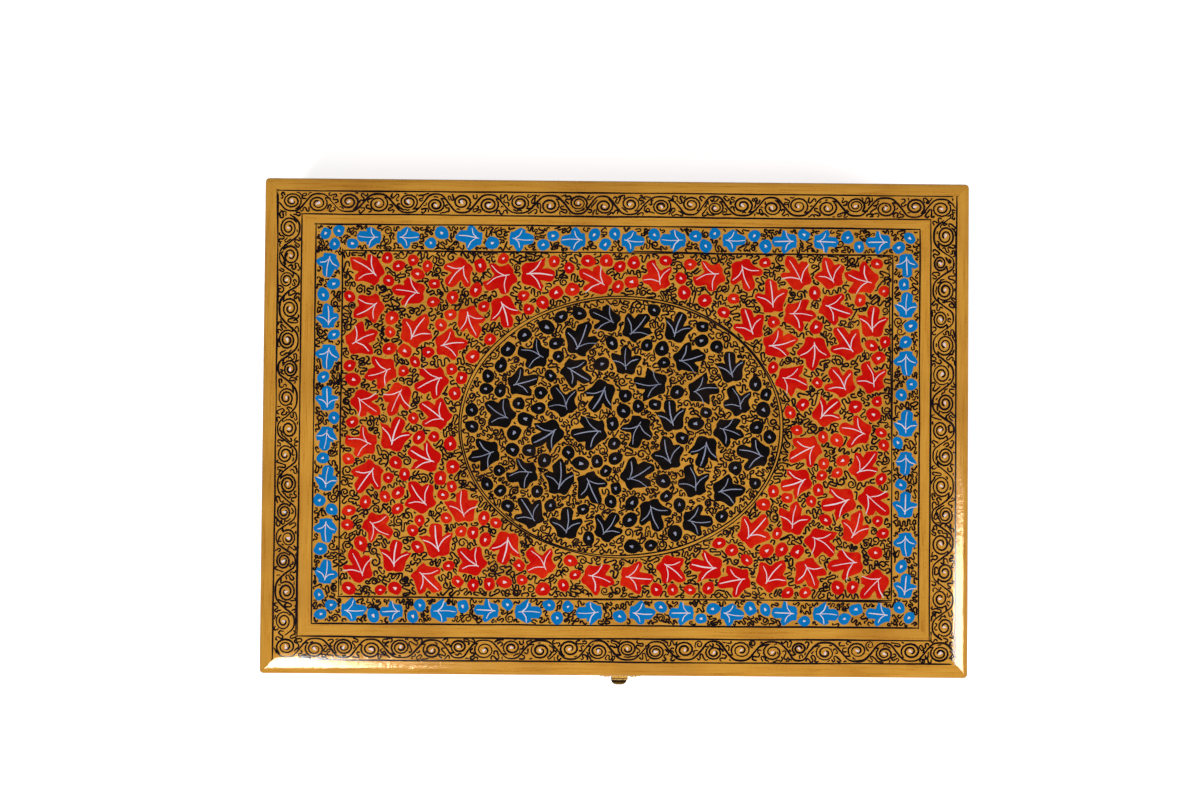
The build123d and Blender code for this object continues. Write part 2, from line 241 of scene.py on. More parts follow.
class ShaderSheet(NodeSheet):
    """The nodes of one material, read in Object coordinates."""

    def __init__(self, name: str) -> None:
        """Starts a new material.

        Args:
            name: its name.
        """
        self.material = bpy.data.materials.new(name)
        self.material.use_nodes = True
        super().__init__(self.material.node_tree)

    @cached_property
    def place(self) -> bpy.types.NodeSocket:
        """Where a point is on the piece, in metres."""
        return self.node("ShaderNodeTexCoord").outputs["Object"]

    @cached_property
    def axes(self) -> list[Signal]:
        """The point's x, y and z as separate values."""
        return [Signal(self, output) for output in self.node("ShaderNodeSeparateXYZ", {0: self.place}).outputs]

    def noise(self, per_metre: Sequence[float] | float, detail: float = 2.0, rough: float = 0.5) -> Signal:
        """Noise from 0 to 1.

        Args:
            per_metre: how many features a metre has, the same all ways or along x, y and z.
            detail: octaves.
            rough: how strong the finer octaves are.

        Returns:
            The noise.
        """
        scale = tuple(np.broadcast_to(per_metre, 3).astype(float))
        turned = self.value("ShaderNodeMapping", {"Vector": self.place, "Scale": scale})
        wanted = {"Vector": turned, "Scale": 1.0, "Detail": detail, "Roughness": rough}
        return self.value("ShaderNodeTexNoise", wanted)

    def ramp(self, value: Signal, *stops: Span) -> Signal:
        """A value remapped through grey stops, each a place and a grey."""
        greys = [(place, (grey, grey, grey)) for place, grey in stops]
        return self.value("ShaderNodeValToRGB", {0: value}, stops=greys)

    def relief(self, height: Signal, depth: float, strength: float = 1.0) -> Signal:
        """A normal from a height of 0 to 1 that stands for a depth in metres."""
        return self.value("ShaderNodeBump", {"Strength": strength, "Distance": depth, "Height": height})

    def finish(self, inputs: dict[str, object]) -> bpy.types.Material:
        """Ends the material in one Principled shader with these inputs."""
        self.node("ShaderNodeOutputMaterial", {"Surface": self.value("ShaderNodeBsdfPrincipled", inputs)})
        return self.material


class GeometrySheet(NodeSheet):
    """A Geometry Nodes tree with named inputs, which ends in real geometry of one material."""

    def __init__(self, name: str, inputs: dict[str, str]) -> None:
        """Starts a tree.

        Args:
            name: the tree's name.
            inputs: each input's name and kind, apart from the geometry and the material.
        """
        super().__init__(bpy.data.node_groups.new(name, "GeometryNodeTree"))
        ports = self.tree.interface
        for way in ("INPUT", "OUTPUT"):
            ports.new_socket("Geometry", in_out=way, socket_type="NodeSocketGeometry")
        self.identifiers = {
            label: ports.new_socket(label, in_out="INPUT", socket_type=f"NodeSocket{kind}").identifier
            for label, kind in {**inputs, "Material": "Material"}.items()
        }
        self.given = self.node("NodeGroupInput").outputs

    def named(self, attribute: str, kind: str = "FLOAT") -> bpy.types.NodeSocket:
        """An attribute of the geometry."""
        read = self.node("GeometryNodeInputNamedAttribute", {"Name": attribute}, data_type=kind)
        return next(output for output in read.outputs if output.enabled)

    def close(self, geometry: Signal) -> None:
        """Ends the tree in real geometry of the given material.

        Args:
            geometry: what it ends in.
        """
        real = self.value("GeometryNodeRealizeInstances", {"Geometry": geometry})
        wanted = {"Geometry": real, "Material": self.given["Material"]}
        self.node("NodeGroupOutput", {0: self.value("GeometryNodeSetMaterial", wanted)})

    def run(
        self,
        points: Iterable[Points],
        edges: Sequence[tuple[int, int]],
        attributes: dict[str, Points],
        values: dict[str, object],
    ) -> bpy.types.Mesh:
        """Runs the tree once, on points and edges that lie flat.

        Args:
            points: the points' places.
            edges: pairs of points.
            attributes: a number for each point, by name.
            values: what the named inputs get.

        Returns:
            The result as a plain mesh.
        """
        wire = bpy.data.meshes.new(self.tree.name)
        wire.from_pydata([(*point, 0.0) for point in points], edges, [])
        for name, numbers in attributes.items():
            kind = "INT" if numbers.dtype.kind == "i" else "FLOAT"
            wire.attributes.new(name, kind, "POINT").data.foreach_set("value", numbers)
        holder = stand(self.tree.name, wire)
        modifier = holder.modifiers.new(self.tree.name, "NODES")
        modifier.node_group = self.tree
        for label, value in values.items():
            modifier[self.identifiers[label]] = value
        mesh = worked_out(holder)
        holder.modifiers.remove(modifier)
        bpy.data.objects.remove(holder)
        bpy.data.meshes.remove(wire)
        return mesh


# ---------------- finishes
@dataclass(frozen=True)
class GoldLacquer:
    """Bronze paint brushed over pulp board, under clear varnish, dark on the inside."""

    name: str
    grain: Grain
    half_x: float  # of the box, in metres
    half_y: float
    wall: float
    base: Colour = srgb(206, 142, 46)
    light: Colour = srgb(224, 164, 66)
    deep: Colour = srgb(160, 100, 30)
    inside: Colour = srgb(34, 24, 22)
    streak_length: float = 60.0  # features a metre along the stroke
    streak_width: float = 1700.0
    bevel: float = 4.8 * MM
    mitre_line: float = 0.22 * MM
    underside: float = 0.0  # the height that is bare and dark below, on the lid's board

    def material(self) -> bpy.types.Material:
        """Draws up the nodes.

        Returns:
            The material.
        """
        s = ShaderSheet(self.name)
        x, y, z = s.axes
        along_x = s.noise((self.streak_length, self.streak_width, self.streak_width), 3.0, 0.6)
        along_y = s.noise((self.streak_width, self.streak_length, self.streak_width), 3.0, 0.6)
        from_end = self.half_x - x.size()
        from_front = self.half_y - y.size()
        round_the_edge = self.grain is Grain.ROUND_THE_EDGE
        if round_the_edge:
            streaks = along_x + (from_end < from_front) * (along_y - along_x)
        else:
            streaks = along_x if self.grain is Grain.ALONG_X else along_y
        clouds, grit = s.noise(38, 3.0), s.noise(1500, 2.0, 0.7)
        colour = s.blend(s.ramp(streaks, (0.30, 0.0), (0.72, 1.0)), self.base, self.light)
        colour = s.blend(s.ramp(clouds, (0.45, 0.0), (0.85, 0.55)), colour, self.deep)
        colour = s.blend(s.ramp(streaks * 0.6 + grit * 0.4, (0.28, 0.85), (0.47, 0.0)), colour, self.deep)
        if round_the_edge:
            edge = from_end.least(from_front)
            mitre = ((from_end - from_front).size() < self.mitre_line) * (edge < self.bevel)
            colour = s.blend(mitre * 0.3, colour, self.deep)
            within = (z < self.underside) * (edge > self.wall)
        else:
            bare_wall = self.wall - 0.1 * MM
            within = (from_end > bare_wall) * (from_front > bare_wall)
        skin = streaks * 0.6 + s.noise(620, 3.0, 0.6) * 2.6
        return s.finish(
            {
                "Base Color": s.blend(within, colour, self.inside),
                "Metallic": s.ramp(streaks, (0.3, 0.03), (0.7, 0.10)),
                "Roughness": s.ramp(grit * 0.5 + streaks * 0.5, (0.35, 0.06), (0.65, 0.13)),
                "Normal": s.relief(skin, 0.02 * MM, 0.8),
            }
        )


@dataclass(frozen=True)
class BrushPaint:
    """Opaque paint laid on with a fine brush, under varnish."""

    name: str
    base: Colour
    other: Colour
    patch: float  # features a metre

    def material(self) -> bpy.types.Material:
        """Draws up the nodes.

        Returns:
            The material.
        """
        s = ShaderSheet(self.name)
        patches, strokes = s.noise(self.patch, 3.0, 0.6), s.noise(900, 2.0, 0.6)
        share = s.ramp(patches * 0.8 + strokes * 0.2, (0.48, 0.0), (0.68, 1.0))
        return s.finish(
            {
                "Base Color": s.blend(share, self.base, self.other),
                "Roughness": s.ramp(strokes, (0.3, 0.07), (0.7, 0.13)),
                "Normal": s.relief(strokes, 0.008 * MM, 0.8),
            }
        )


class Pot(Enum):
    """The pots of paint that the painter dips into."""

    INK = BrushPaint("ink_line", srgb(18, 9, 14), srgb(36, 20, 24), 60.0)
    WHITE = BrushPaint("white_line", srgb(236, 214, 216), srgb(222, 226, 240), 90.0)
    GREY = BrushPaint("grey_line", srgb(152, 156, 178), srgb(122, 126, 150), 90.0)
    RED = BrushPaint("red_leaf", srgb(198, 6, 2), srgb(222, 44, 10), 70.0)
    BLUE = BrushPaint("blue_leaf", srgb(0, 114, 184), srgb(4, 124, 196), 70.0)
    BLACK = BrushPaint("black_leaf", srgb(10, 7, 8), srgb(32, 22, 20), 70.0)


@dataclass(frozen=True)
class SheetBrass:
    """Stamped brass, a little tarnished, with fine scratches. Where a curled lip is given, painted shade with
    some grime darkens the hollow of the lip.
    """

    name: str = "sheet_brass"
    clean: Colour = srgb(222, 172, 82)
    tarnish: Colour = srgb(146, 96, 40)
    # painted shade with some grime, for the hollow of a curled lip
    hollow_shade_and_grime: Colour = srgb(58, 36, 18)
    lip: Span | None = None  # the height that a curled lip starts below, and where its rim starts: painted shade darkens the hollow there

    def material(self) -> bpy.types.Material:
        """Draws up the nodes.

        Returns:
            The material.
        """
        s = ShaderSheet(self.name)
        stains, scratches = s.noise(520, 4.0, 0.65), s.noise((6000, 500, 6000), 2.0, 0.6)
        colour = s.blend(s.ramp(stains, (0.44, 0.0), (0.74, 1.0)), self.clean, self.tarnish)
        if self.lip:
            _, y, z = s.axes
            # painted shade with some grime: darker below the lip's start and behind its rim
            shaded_hollow = (z < self.lip[0]) * s.ramp((y - self.lip[1]) * (1 / MM) + 0.5, (0.35, 0.0), (0.75, 0.9))
            colour = s.blend(shaded_hollow, colour, self.hollow_shade_and_grime)
        return s.finish(
            {
                "Base Color": colour,
                "Metallic": 1.0,
                "Roughness": s.ramp(stains * 0.5 + scratches * 0.5, (0.35, 0.20), (0.65, 0.42)),
                "Normal": s.relief(scratches, 0.02 * MM, 0.4),
            }
        )


@dataclass(frozen=True)
class DrawnWire:
    """Plain grey steel, with spots of rust."""

    name: str = "drawn_wire"
    base: Colour = srgb(150, 148, 144)
    rust: Colour = srgb(104, 78, 60)

    def material(self) -> bpy.types.Material:
        """Draws up the nodes.

        Returns:
            The material.
        """
        s = ShaderSheet(self.name)
        spots = s.ramp(s.noise(900, 3.0), (0.55, 0.0), (0.75, 1.0))
        colour = s.blend(spots, self.base, self.rust)
        return s.finish({"Base Color": colour, "Metallic": 1.0, "Roughness": spots * 0.4 + 0.3})


@dataclass(frozen=True)
class Pile:
    """Short-pile cloth, such as velvet or flock, with painted sheen: its colour is lighter in patches where the
    pile leans.
    """

    name: str
    dark: Colour
    sheen_tone: Colour
    sheen: float
    lean: float = 24.0  # features a metre of the painted sheen patches, where the pile leans
    fibre: float = 5200.0

    def material(self) -> bpy.types.Material:
        """Draws up the nodes.

        Returns:
            The material.
        """
        s = ShaderSheet(self.name)
        # painted sheen: patches where the pile leans, which lighten the colour
        sheen_patches = s.noise((self.lean, self.lean * 1.6, self.lean), 3.0, 0.6)
        fibres = s.noise(self.fibre, 2.0, 0.7)
        share = s.ramp(sheen_patches * 0.72 + fibres * 0.28, (0.34, 0.0), (0.66, 1.0))
        return s.finish(
            {
                "Base Color": s.blend(share, self.dark, self.sheen_tone),
                "Roughness": s.ramp(fibres, (0.2, 0.82), (0.8, 0.98)),
                "Specular IOR Level": 0.2,
                "Sheen Weight": self.sheen,
                "Sheen Roughness": 0.35,
                "Sheen Tint": (*self.sheen_tone, 1.0),
                "Normal": s.relief(fibres, 0.12 * MM, 0.6),
            }
        )


# ---------------- flat drawing
def turned(points: Points, angle: float) -> Points:
    """Flat points turned about the origin."""
    c, s = math.cos(angle), math.sin(angle)
    return points @ np.array([[c, s], [-s, c]])


def ray(angle: Points | float) -> Points:
    """The direction at an angle, or one for each of several angles."""
    return np.stack([np.cos(angle), np.sin(angle)], axis=-1)


def left_of(way: Points) -> Points:
    """A direction turned a quarter to the left."""
    return np.array([-way[1], way[0]])


def angle_of(way: Points) -> float:
    """The angle of a direction."""
    return math.atan2(way[1], way[0])


def evenly(points: Points, step: float) -> Points:
    """A line resampled at even steps, both ends kept.

    Args:
        points: the line.
        step: about how far apart its new points are.

    Returns:
        The new points.
    """
    along = np.concatenate([[0], np.cumsum(np.linalg.norm(np.diff(points, axis=0), axis=1))])
    wanted = np.linspace(0, along[-1], max(2, int(round(along[-1] / step)) + 1))
    return np.stack([np.interp(wanted, along, column) for column in points.T], axis=1)


def spline(corners: Points, per_corner: int) -> Points:
    """A smooth curve through its corners, from the second to the last but one.

    Args:
        corners: the corners.
        per_corner: how many points each corner gives.

    Returns:
        The curve without its very end.
    """
    a, b, c, d = (corners[i : len(corners) - 3 + i, None, :] for i in range(4))
    t = (np.arange(per_corner) / per_corner)[None, :, None]
    curve = 0.5 * (2 * b + (c - a) * t + (2 * a - 5 * b + 4 * c - d) * t**2 + (3 * b - a - 3 * c + d) * t**3)
    return curve.reshape(-1, corners.shape[1])


def round_curve(corners: Points) -> Points:
    """A smooth closed curve through all its corners, with two points for each."""
    return spline(np.concatenate([corners[-1:], corners, corners[:2]]), 2)


def open_curve(corners: Sequence[Points], per_corner: int) -> Points:
    """A smooth line through all its corners, ends included.

    Args:
        corners: the corners.
        per_corner: how many points each corner gives.

    Returns:
        The line.
    """
    line = np.array(corners)
    padded = np.concatenate([2 * line[:1] - line[1:2], line, 2 * line[-1:] - line[-2:-1]])
    return np.concatenate([spline(padded, per_corner), line[-1:]])


def arc(
    start: Points, heading: float, side: int, radius: float, sweep: Points, reach: Points | float
) -> Points:
    """Points some way round the circle that a line sets out on, at a reach from its middle."""
    middle = start + radius * left_of(ray(heading)) * side
    return middle + ray(heading - side * math.pi / 2 + side * sweep) * reach


def curl_from(start: Points, heading: float, side: int, reach: float, turns: float) -> Points:
    """A spiral that winds in from a point.

    Args:
        start: the point.
        heading: which way the line sets out.
        side: 1 to wind to the left, -1 to the right.
        reach: its outer radius.
        turns: how often it goes round.

    Returns:
        Its points, the start left out.
    """
    sweep = np.linspace(0, turns * TAU, max(5, int(turns * 9)))
    shrinking = reach * (1 - 0.72 * (sweep / sweep[-1]) ** 0.9)
    return arc(start, heading, side, reach, sweep, shrinking[:, None])[1:]


class Ruler:
    """A straight run between two places on a face."""

    def __init__(self, start: Points, end: Points) -> None:
        """Lays it between its ends.

        Args:
            start: one end, as (u, v).
            end: the other.
        """
        self.start, self.end = np.array(start), np.array(end)
        self.length = float(np.linalg.norm(self.end - self.start))
        self.along = (self.end - self.start) / self.length
        self.across = left_of(self.along)

    def spot(self, along: Points | float, across: Points | float) -> Points:
        """The place some way along the run and across it."""
        return self.start + along * self.along + across * self.across

    def placed(self, points: Points) -> Points:
        """Points given as (along, across), as places on the face."""
        return self.spot(points[:, :1], points[:, 1:])

    @staticmethod
    def round_trip(low_u: float, high_u: float, low_v: float, high_v: float) -> list[Ruler]:
        """The four sides of a rectangle, anticlockwise."""
        corners = [(low_u, low_v), (high_u, low_v), (high_u, high_v), (low_u, high_v)]
        return [Ruler(*ends) for ends in zip(corners, corners[1:] + corners[:1])]


# ---------------- the painted faces
@dataclass(frozen=True)
class Canvas:
    """A face that is painted. Its u and v are in millimetres from the middle of the face."""

    body: Body
    middle: Points  # in metres
    u_axis: tuple[int, int, int]
    v_axis: tuple[int, int, int]
    half: Points  # of its length and height
    bulge: Test | None = None  # how far the face lies above its middle's plane

    def lay(self, flat: Points) -> Points:
        """Moves flat points onto the face.

        Args:
            flat: (u, v, height over the face) in millimetres.

        Returns:
            Their places in metres.
        """
        u_axis, v_axis = np.array(self.u_axis, float), np.array(self.v_axis, float)
        lift = flat[:, 2] + (self.bulge(flat[:, :2]) if self.bulge else 0.0)
        moved = flat[:, :1] * u_axis + flat[:, 1:2] * v_axis + lift[:, None] * np.cross(u_axis, v_axis)
        return self.middle + moved * MM

    def carry(self, mesh: bpy.types.Mesh, tile: int, tiles: int) -> bpy.types.Mesh:
        """Moves a flat mesh in millimetres onto the face, and maps its texture to the face.

        Args:
            mesh: the flat mesh.
            tile: which strip of the texture it takes.
            tiles: how many strips there are.

        Returns:
            The same mesh.
        """
        flat = np.empty(len(mesh.vertices) * 3, "f")
        mesh.vertices.foreach_get("co", flat)
        flat = flat.reshape(-1, 3).astype(float)
        corners = np.empty(len(mesh.loops), "i")
        mesh.loops.foreach_get("vertex_index", corners)
        share = flat[:, :2] / self.half / 2 + 0.5
        share[:, 1] = (share[:, 1] + tile) / tiles
        while mesh.uv_layers:
            mesh.uv_layers.remove(mesh.uv_layers[0])
        mesh.uv_layers.new(name="OFBake").data.foreach_set("uv", share[corners].astype("f").ravel())
        mesh.vertices.foreach_set("co", self.lay(flat).astype("f").ravel())
        mesh.update()
        return mesh


class Ground:
    """Which parts of a canvas are still bare, on a fine grid."""

    CELL = 0.22

    def __init__(self, canvas: Canvas, inside: Test) -> None:
        """Starts bare where a test holds, and taken elsewhere.

        Args:
            canvas: the face that it lies on.
            inside: the test.
        """
        self.half = canvas.half
        self.shape = tuple(np.ceil(2 * self.half / self.CELL).astype(int))
        middles = [(np.arange(n) + 0.5) * self.CELL - h for n, h in zip(self.shape, self.half)]
        self.taken = ~inside(np.stack(np.meshgrid(*middles, indexing="ij"), axis=-1))

    def kept_in(self, cells: Points) -> Points:
        """Grid cells moved to the nearest ones that the grid has."""
        return np.clip(cells, 0, np.array(self.shape) - 1)

    def cells(self, points: Points) -> Points:
        """The grid cells that hold these points, kept inside the grid."""
        return self.kept_in(np.floor((points + self.half) / self.CELL).astype(int))

    def bare(self, points: Points) -> Points:
        """True for each point that lies on the canvas and on a bare cell."""
        return (np.abs(points) < self.half).all(axis=-1) & ~self.taken[tuple(self.cells(points).T)]

    def is_bare(self, points: Points) -> bool:
        """True if every point is on bare ground."""
        return bool(self.bare(points).all())

    def take(self, points: Points, radius: float) -> None:
        """Takes ground.

        Args:
            points: where.
            radius: how far round each point.
        """
        steps = np.arange(-math.ceil(radius / self.CELL), math.ceil(radius / self.CELL) + 1)
        offsets = np.stack(np.meshgrid(steps, steps, indexing="ij"), axis=-1).reshape(-1, 2)
        offsets = offsets[(offsets**2).sum(1) * self.CELL**2 <= radius**2]
        found = (self.cells(points)[:, None, :] + offsets).reshape(-1, 2)
        self.taken[tuple(self.kept_in(found).T)] = True

    def snapshot(self) -> Ground:
        """Copies it.

        Returns:
            A copy that keeps to what is taken now.
        """
        other = copy.copy(self)
        other.taken = self.taken.copy()
        return other

    def bare_area(self) -> float:
        """How much is bare, in square millimetres."""
        return float((~self.taken).sum()) * self.CELL**2

    def bare_spots(self, rng: np.random.Generator, count: int) -> Points:
        """Points picked at random from the bare cells.

        Args:
            rng: the draw.
            count: how many.

        Returns:
            The points, or none if nothing is bare.
        """
        free = np.argwhere(~self.taken)
        if not len(free):
            return np.zeros((0, 2))
        picked = free[rng.integers(0, len(free), count)]
        return (picked + rng.random((count, 2))) * self.CELL - self.half


# ---------------- laying paint on
@dataclass(frozen=True)
class Stroke:
    """One pull of the brush: the line that it follows and half its width at each point."""

    points: Points
    half_width: Points
    closed: bool = False


def pull(points: Points, width: float, rng: np.random.Generator, closed: bool = False) -> Stroke:
    """A stroke whose width swells and thins a little, and which tapers at its ends.

    Args:
        points: the line.
        width: its usual width.
        rng: the hand.
        closed: true if it ends where it starts.

    Returns:
        The stroke.
    """
    count = len(points)
    knots = np.arange(0, count + 6, 6)
    swell = 1 + 0.16 * np.interp(np.arange(count), knots, rng.standard_normal(len(knots)))
    if not closed:
        ends = np.minimum(np.arange(count), np.arange(count)[::-1])
        swell *= np.clip(0.6 + ends * 0.3, 0, 1)
    return Stroke(points, np.clip(swell, 0.5, 1.5) * width / 2, closed)


class Brush:
    """Turns strokes into thin ribbons of paint with flat tops."""

    RELIEF = 0.28  # how deep the keel is, as a share of half the width; the top lies half as high over the face
    WIDEN = 1.155  # brings the top of a three-sided profile to the full width

    def __init__(self) -> None:
        """Builds the tree once: a line becomes a ribbon whose keel is sunk in the face."""
        s = self.sheet = GeometrySheet("brush_ribbon", {"Relief": "Float"})
        line = s.value("GeometryNodeMeshToCurve", {"Mesh": s.given["Geometry"]})
        upright = s.value("GeometryNodeSetCurveNormal", {"Curve": line}, mode="Z_UP")
        tri = s.value("GeometryNodeCurvePrimitiveCircle", {"Resolution": 3, "Radius": 1.0}, mode="RADIUS")
        squash = s.value("ShaderNodeCombineXYZ", {"X": s.given["Relief"], "Y": self.WIDEN, "Z": 1.0})
        standing = {"Geometry": tri, "Scale": squash, "Rotation": (0.0, 0.0, math.pi / 2)}
        keel = s.value("GeometryNodeTransform", standing)
        swept = {"Curve": upright, "Profile Curve": keel, "Scale": s.named("half_width"), "Fill Caps": True}
        body = s.value("GeometryNodeCurveToMesh", swept)
        s.close(s.value("GeometryNodeSetShadeSmooth", {"Geometry": body, "Shade Smooth": False}))

    def mesh(self, strokes: Sequence[Stroke], paint: bpy.types.Material | None) -> bpy.types.Mesh:
        """Meshes strokes, flat, in millimetres.

        Args:
            strokes: the strokes.
            paint: what they are painted with.

        Returns:
            One mesh.
        """
        edges, first = [], 0
        for stroke in strokes:
            last = first + len(stroke.points) - 1
            edges.extend((i, i + 1) for i in range(first, last))
            if stroke.closed:
                edges.append((last, first))
            first = last + 1
        points = np.concatenate([stroke.points for stroke in strokes])
        widths = np.concatenate([stroke.half_width for stroke in strokes]).astype("f")
        return self.sheet.run(points, edges, {"half_width": widths}, {"Relief": self.RELIEF, "Material": paint})


@dataclass
class Print:
    """Where one stencil shape goes."""

    at: Points
    turn: float
    size: float
    shape: int


class Stencils:
    """Lays copies of a few flat shapes at many places."""

    def __init__(self) -> None:
        """Builds the tree once: a shape is picked, turned and sized for each point."""
        s = self.sheet = GeometrySheet("stencilled_shapes", {"Shapes": "Collection"})
        drawer = {"Collection": s.given["Shapes"], "Separate Children": True, "Reset Children": True}
        size = s.named("size")
        placed = {
            "Points": s.given["Geometry"],
            "Instance": s.value("GeometryNodeCollectionInfo", drawer),
            "Pick Instance": True,
            "Instance Index": s.named("shape", "INT"),
            "Rotation": s.value(
                "FunctionNodeEulerToRotation", {0: s.value("ShaderNodeCombineXYZ", {"Z": s.named("turn")})}
            ),
            "Scale": s.value("ShaderNodeCombineXYZ", {"X": size, "Y": size, "Z": 1.0}),
        }
        s.close(s.value("GeometryNodeInstanceOnPoints", placed))

    def mesh(
        self, shapes: Sequence[bpy.types.Mesh], prints: Sequence[Print], paint: bpy.types.Material
    ) -> bpy.types.Mesh:
        """Prints shapes, flat, in millimetres.

        Args:
            shapes: the shapes' meshes.
            prints: where each copy goes.
            paint: what they are painted with.

        Returns:
            One mesh.
        """
        drawer = bpy.data.collections.new("stencils")
        bpy.context.scene.collection.children.link(drawer)
        for index, shape in enumerate(shapes):
            drawer.objects.link(bpy.data.objects.new(f"stencil_{index:02d}", shape))
        columns = {
            name: np.array([getattr(spot, name) for spot in prints], kind)
            for name, kind in (("turn", "f"), ("size", "f"), ("shape", "i"))
        }
        spots = [spot.at for spot in prints]
        mesh = self.sheet.run(spots, [], columns, {"Shapes": drawer, "Material": paint})
        for stencil in list(drawer.objects):
            bpy.data.objects.remove(stencil)
        bpy.data.collections.remove(drawer)
        return mesh


def plate(outline: Points, low: float, high: float, inset: float) -> bpy.types.Mesh:
    """A closed plate of paint over an outline, with its top a little smaller than its foot.

    Args:
        outline: the foot's outline, anticlockwise, in millimetres.
        low: the foot's height.
        high: the top's height.
        inset: the top's size as a share of the foot's.

    Returns:
        The mesh.
    """
    count, middle = len(outline), outline.mean(axis=0)
    top = middle + (outline - middle) * inset
    ring = range(count)
    faces = [list(ring)[::-1], [count + i for i in ring]]
    faces += [[i, (i + 1) % count, count + (i + 1) % count, count + i] for i in ring]
    mesh = bpy.data.meshes.new("shape")
    mesh.from_pydata([(*p, low) for p in outline] + [(*p, high) for p in top], [], faces)
    return mesh


# ---------------- building meshes
Ring = list[bmesh.types.BMVert]


def rim_of(rows: list[Ring]) -> Ring:
    """The points round the edge of a grid, in order."""
    across = [row[-1] for row in rows[:-1]]
    return rows[0][:-1] + across + rows[-1][:0:-1] + [row[0] for row in rows[:0:-1]]


def wall(work: bmesh.types.BMesh, one: Ring, other: Ring) -> None:
    """Closes the gap between two rings of as many points with faces."""
    for k, n in enumerate([*range(1, len(one)), 0]):
        work.faces.new((one[k], one[n], other[n], other[k]))


def mesh_of(work: bmesh.types.BMesh, name: str) -> bpy.types.Mesh:
    """Ends a bmesh.

    Args:
        work: the bmesh.
        name: the new mesh's name.

    Returns:
        The mesh, with no finish yet.
    """
    mesh = bpy.data.meshes.new(name)
    work.to_mesh(mesh)
    work.free()
    return mesh


def smooth(mesh: bpy.types.Mesh, finish: bpy.types.Material) -> bpy.types.Mesh:
    """Shades a mesh smooth and gives it one finish.

    Args:
        mesh: the mesh.
        finish: the finish.

    Returns:
        The same mesh.
    """
    mesh.materials.clear()
    mesh.materials.append(finish)
    mesh.polygons.foreach_set("use_smooth", [True] * len(mesh.polygons))
    return mesh


def joined(name: str, meshes: Sequence[bpy.types.Mesh]) -> bpy.types.Mesh:
    """Joins meshes that have the same finish.

    Args:
        name: the new mesh's name.
        meshes: the meshes. Their finish is in their last slot, and an empty one may come before it.

    Returns:
        One mesh.
    """
    work = bmesh.new()
    for mesh in meshes:
        work.from_mesh(mesh)
    for face in work.faces:
        face.material_index = 0
    whole = mesh_of(work, name)
    whole.materials.append(meshes[0].materials[-1])
    return whole


class Workshop:
    """Hangs finished meshes on the frame and keeps count of them."""

    def __init__(self) -> None:
        """Starts with no pieces."""
        self.pieces: list[str] = []

    def hang(
        self, name: str, mesh: bpy.types.Mesh, body: Body, slot: str, replaces: Sequence[str] = ()
    ) -> bpy.types.Object:
        """Makes a piece of a mesh that is already in its place.

        Args:
            name: the piece's name.
            mesh: its mesh, in metres.
            body: what it rides on.
            slot: a name of the record's material slots; not used.
            replaces: the CAD nodes that it stands for.

        Returns:
            The piece.
        """
        piece = stand(name, mesh)
        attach(piece, body.value)
        if replaces:
            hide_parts(*replaces)
        self.pieces.append(name)
        LOG.info("%s: %d faces on %s", name, len(mesh.polygons), body.value)
        return piece


# ---------------- motifs
@dataclass(frozen=True)
class ChinarLeaf:
    """The plane tree's leaf as painters draw it: three long lobes, two short ones and a bird's-foot vein."""

    outline: Points
    veins: list[Points]

    FOOT = 1.8

    @classmethod
    def drawn(cls, rng: np.random.Generator, across: float = 1.0) -> ChinarLeaf:
        """One leaf with a hand's unevenness.

        Args:
            rng: the hand.
            across: how long its side lobes are, as a share of the usual.

        Returns:
            A leaf about 10 mm long.
        """
        flanks: dict[int, list[Span]] = {1: [], -1: []}
        tall = rng.normal(8.8, 0.35) * (1 + across) / 2
        for side, flank in flanks.items():
            splay, reach = rng.uniform(46, 62) + 8 * (1 - across), rng.uniform(6.4, 7.7) * across
            notch, plump = rng.uniform(4.6, 5.6) * (1 + across) / 2, 1.15 + 0.3 * (1 - across)
            usual = (
                (0, tall), (8.5 * plump, tall * 0.93), (15.5 * plump, tall * 0.8),
                (splay * 0.41 * plump, notch), (splay * 0.68, (notch + reach) / 2 + 0.2),
                (splay * 0.86, reach * 0.97), (splay * 1.01, reach * 1.0),
                (splay * 1.17, reach * 0.85), (splay * 1.36, reach * 0.62), (97, 3.3 * across),
                (116, 3.6 * across), (137, 2.9 * across), (160, 2.2 * across),
            )
            for angle, length in usual[(0 if side == 1 else 1) :]:  # the tip is drawn once
                bent = math.radians(side * angle + rng.normal(0, 1.8))
                length *= 1 + rng.normal(0, 0.042)
                flank.append((length * math.cos(bent), length * math.sin(bent)))
        outline = round_curve(np.array([*flanks[1], (-cls.FOOT, rng.normal(0, 0.2)), *flanks[-1][::-1]]))
        lean = rng.normal(0, 0.35)
        tail = np.array([-0.35, rng.normal(0, 0.2)])
        middle = np.array([tail, (0, 0), (3.8, lean), (tall * 0.88 + rng.normal(0, 0.3), lean * 0.3)])
        veins = [open_curve(middle, 3)]
        for side in (1, -1):
            angle = math.radians(52 + rng.normal(0, 5)) * side
            tip = (5.9 + rng.normal(0, 0.35)) * across * ray(angle)
            start = np.array([rng.uniform(0.1, 0.9), 0.05 * side])
            knee = (start + tip) / 2 + np.array([0.45, -0.3 * side])
            veins.append(open_curve([start, knee, tip], 4))
        return cls(outline, veins)


def bud_outline(rng: np.random.Generator, radius: float = 2.35) -> Points:
    """A bud: nearly round, drawn out a little to one side.

    Args:
        rng: the hand.
        radius: its usual radius in millimetres.

    Returns:
        Its outline.
    """
    angles = np.arange(9) / 9 * TAU
    reach = radius * (1 + rng.uniform(0.0, 0.38) * np.maximum(0, np.cos(angles)) ** 4 + rng.normal(0, 0.06, 9))
    return round_curve(ray(angles) * reach[:, None] * (1.0, 0.93))


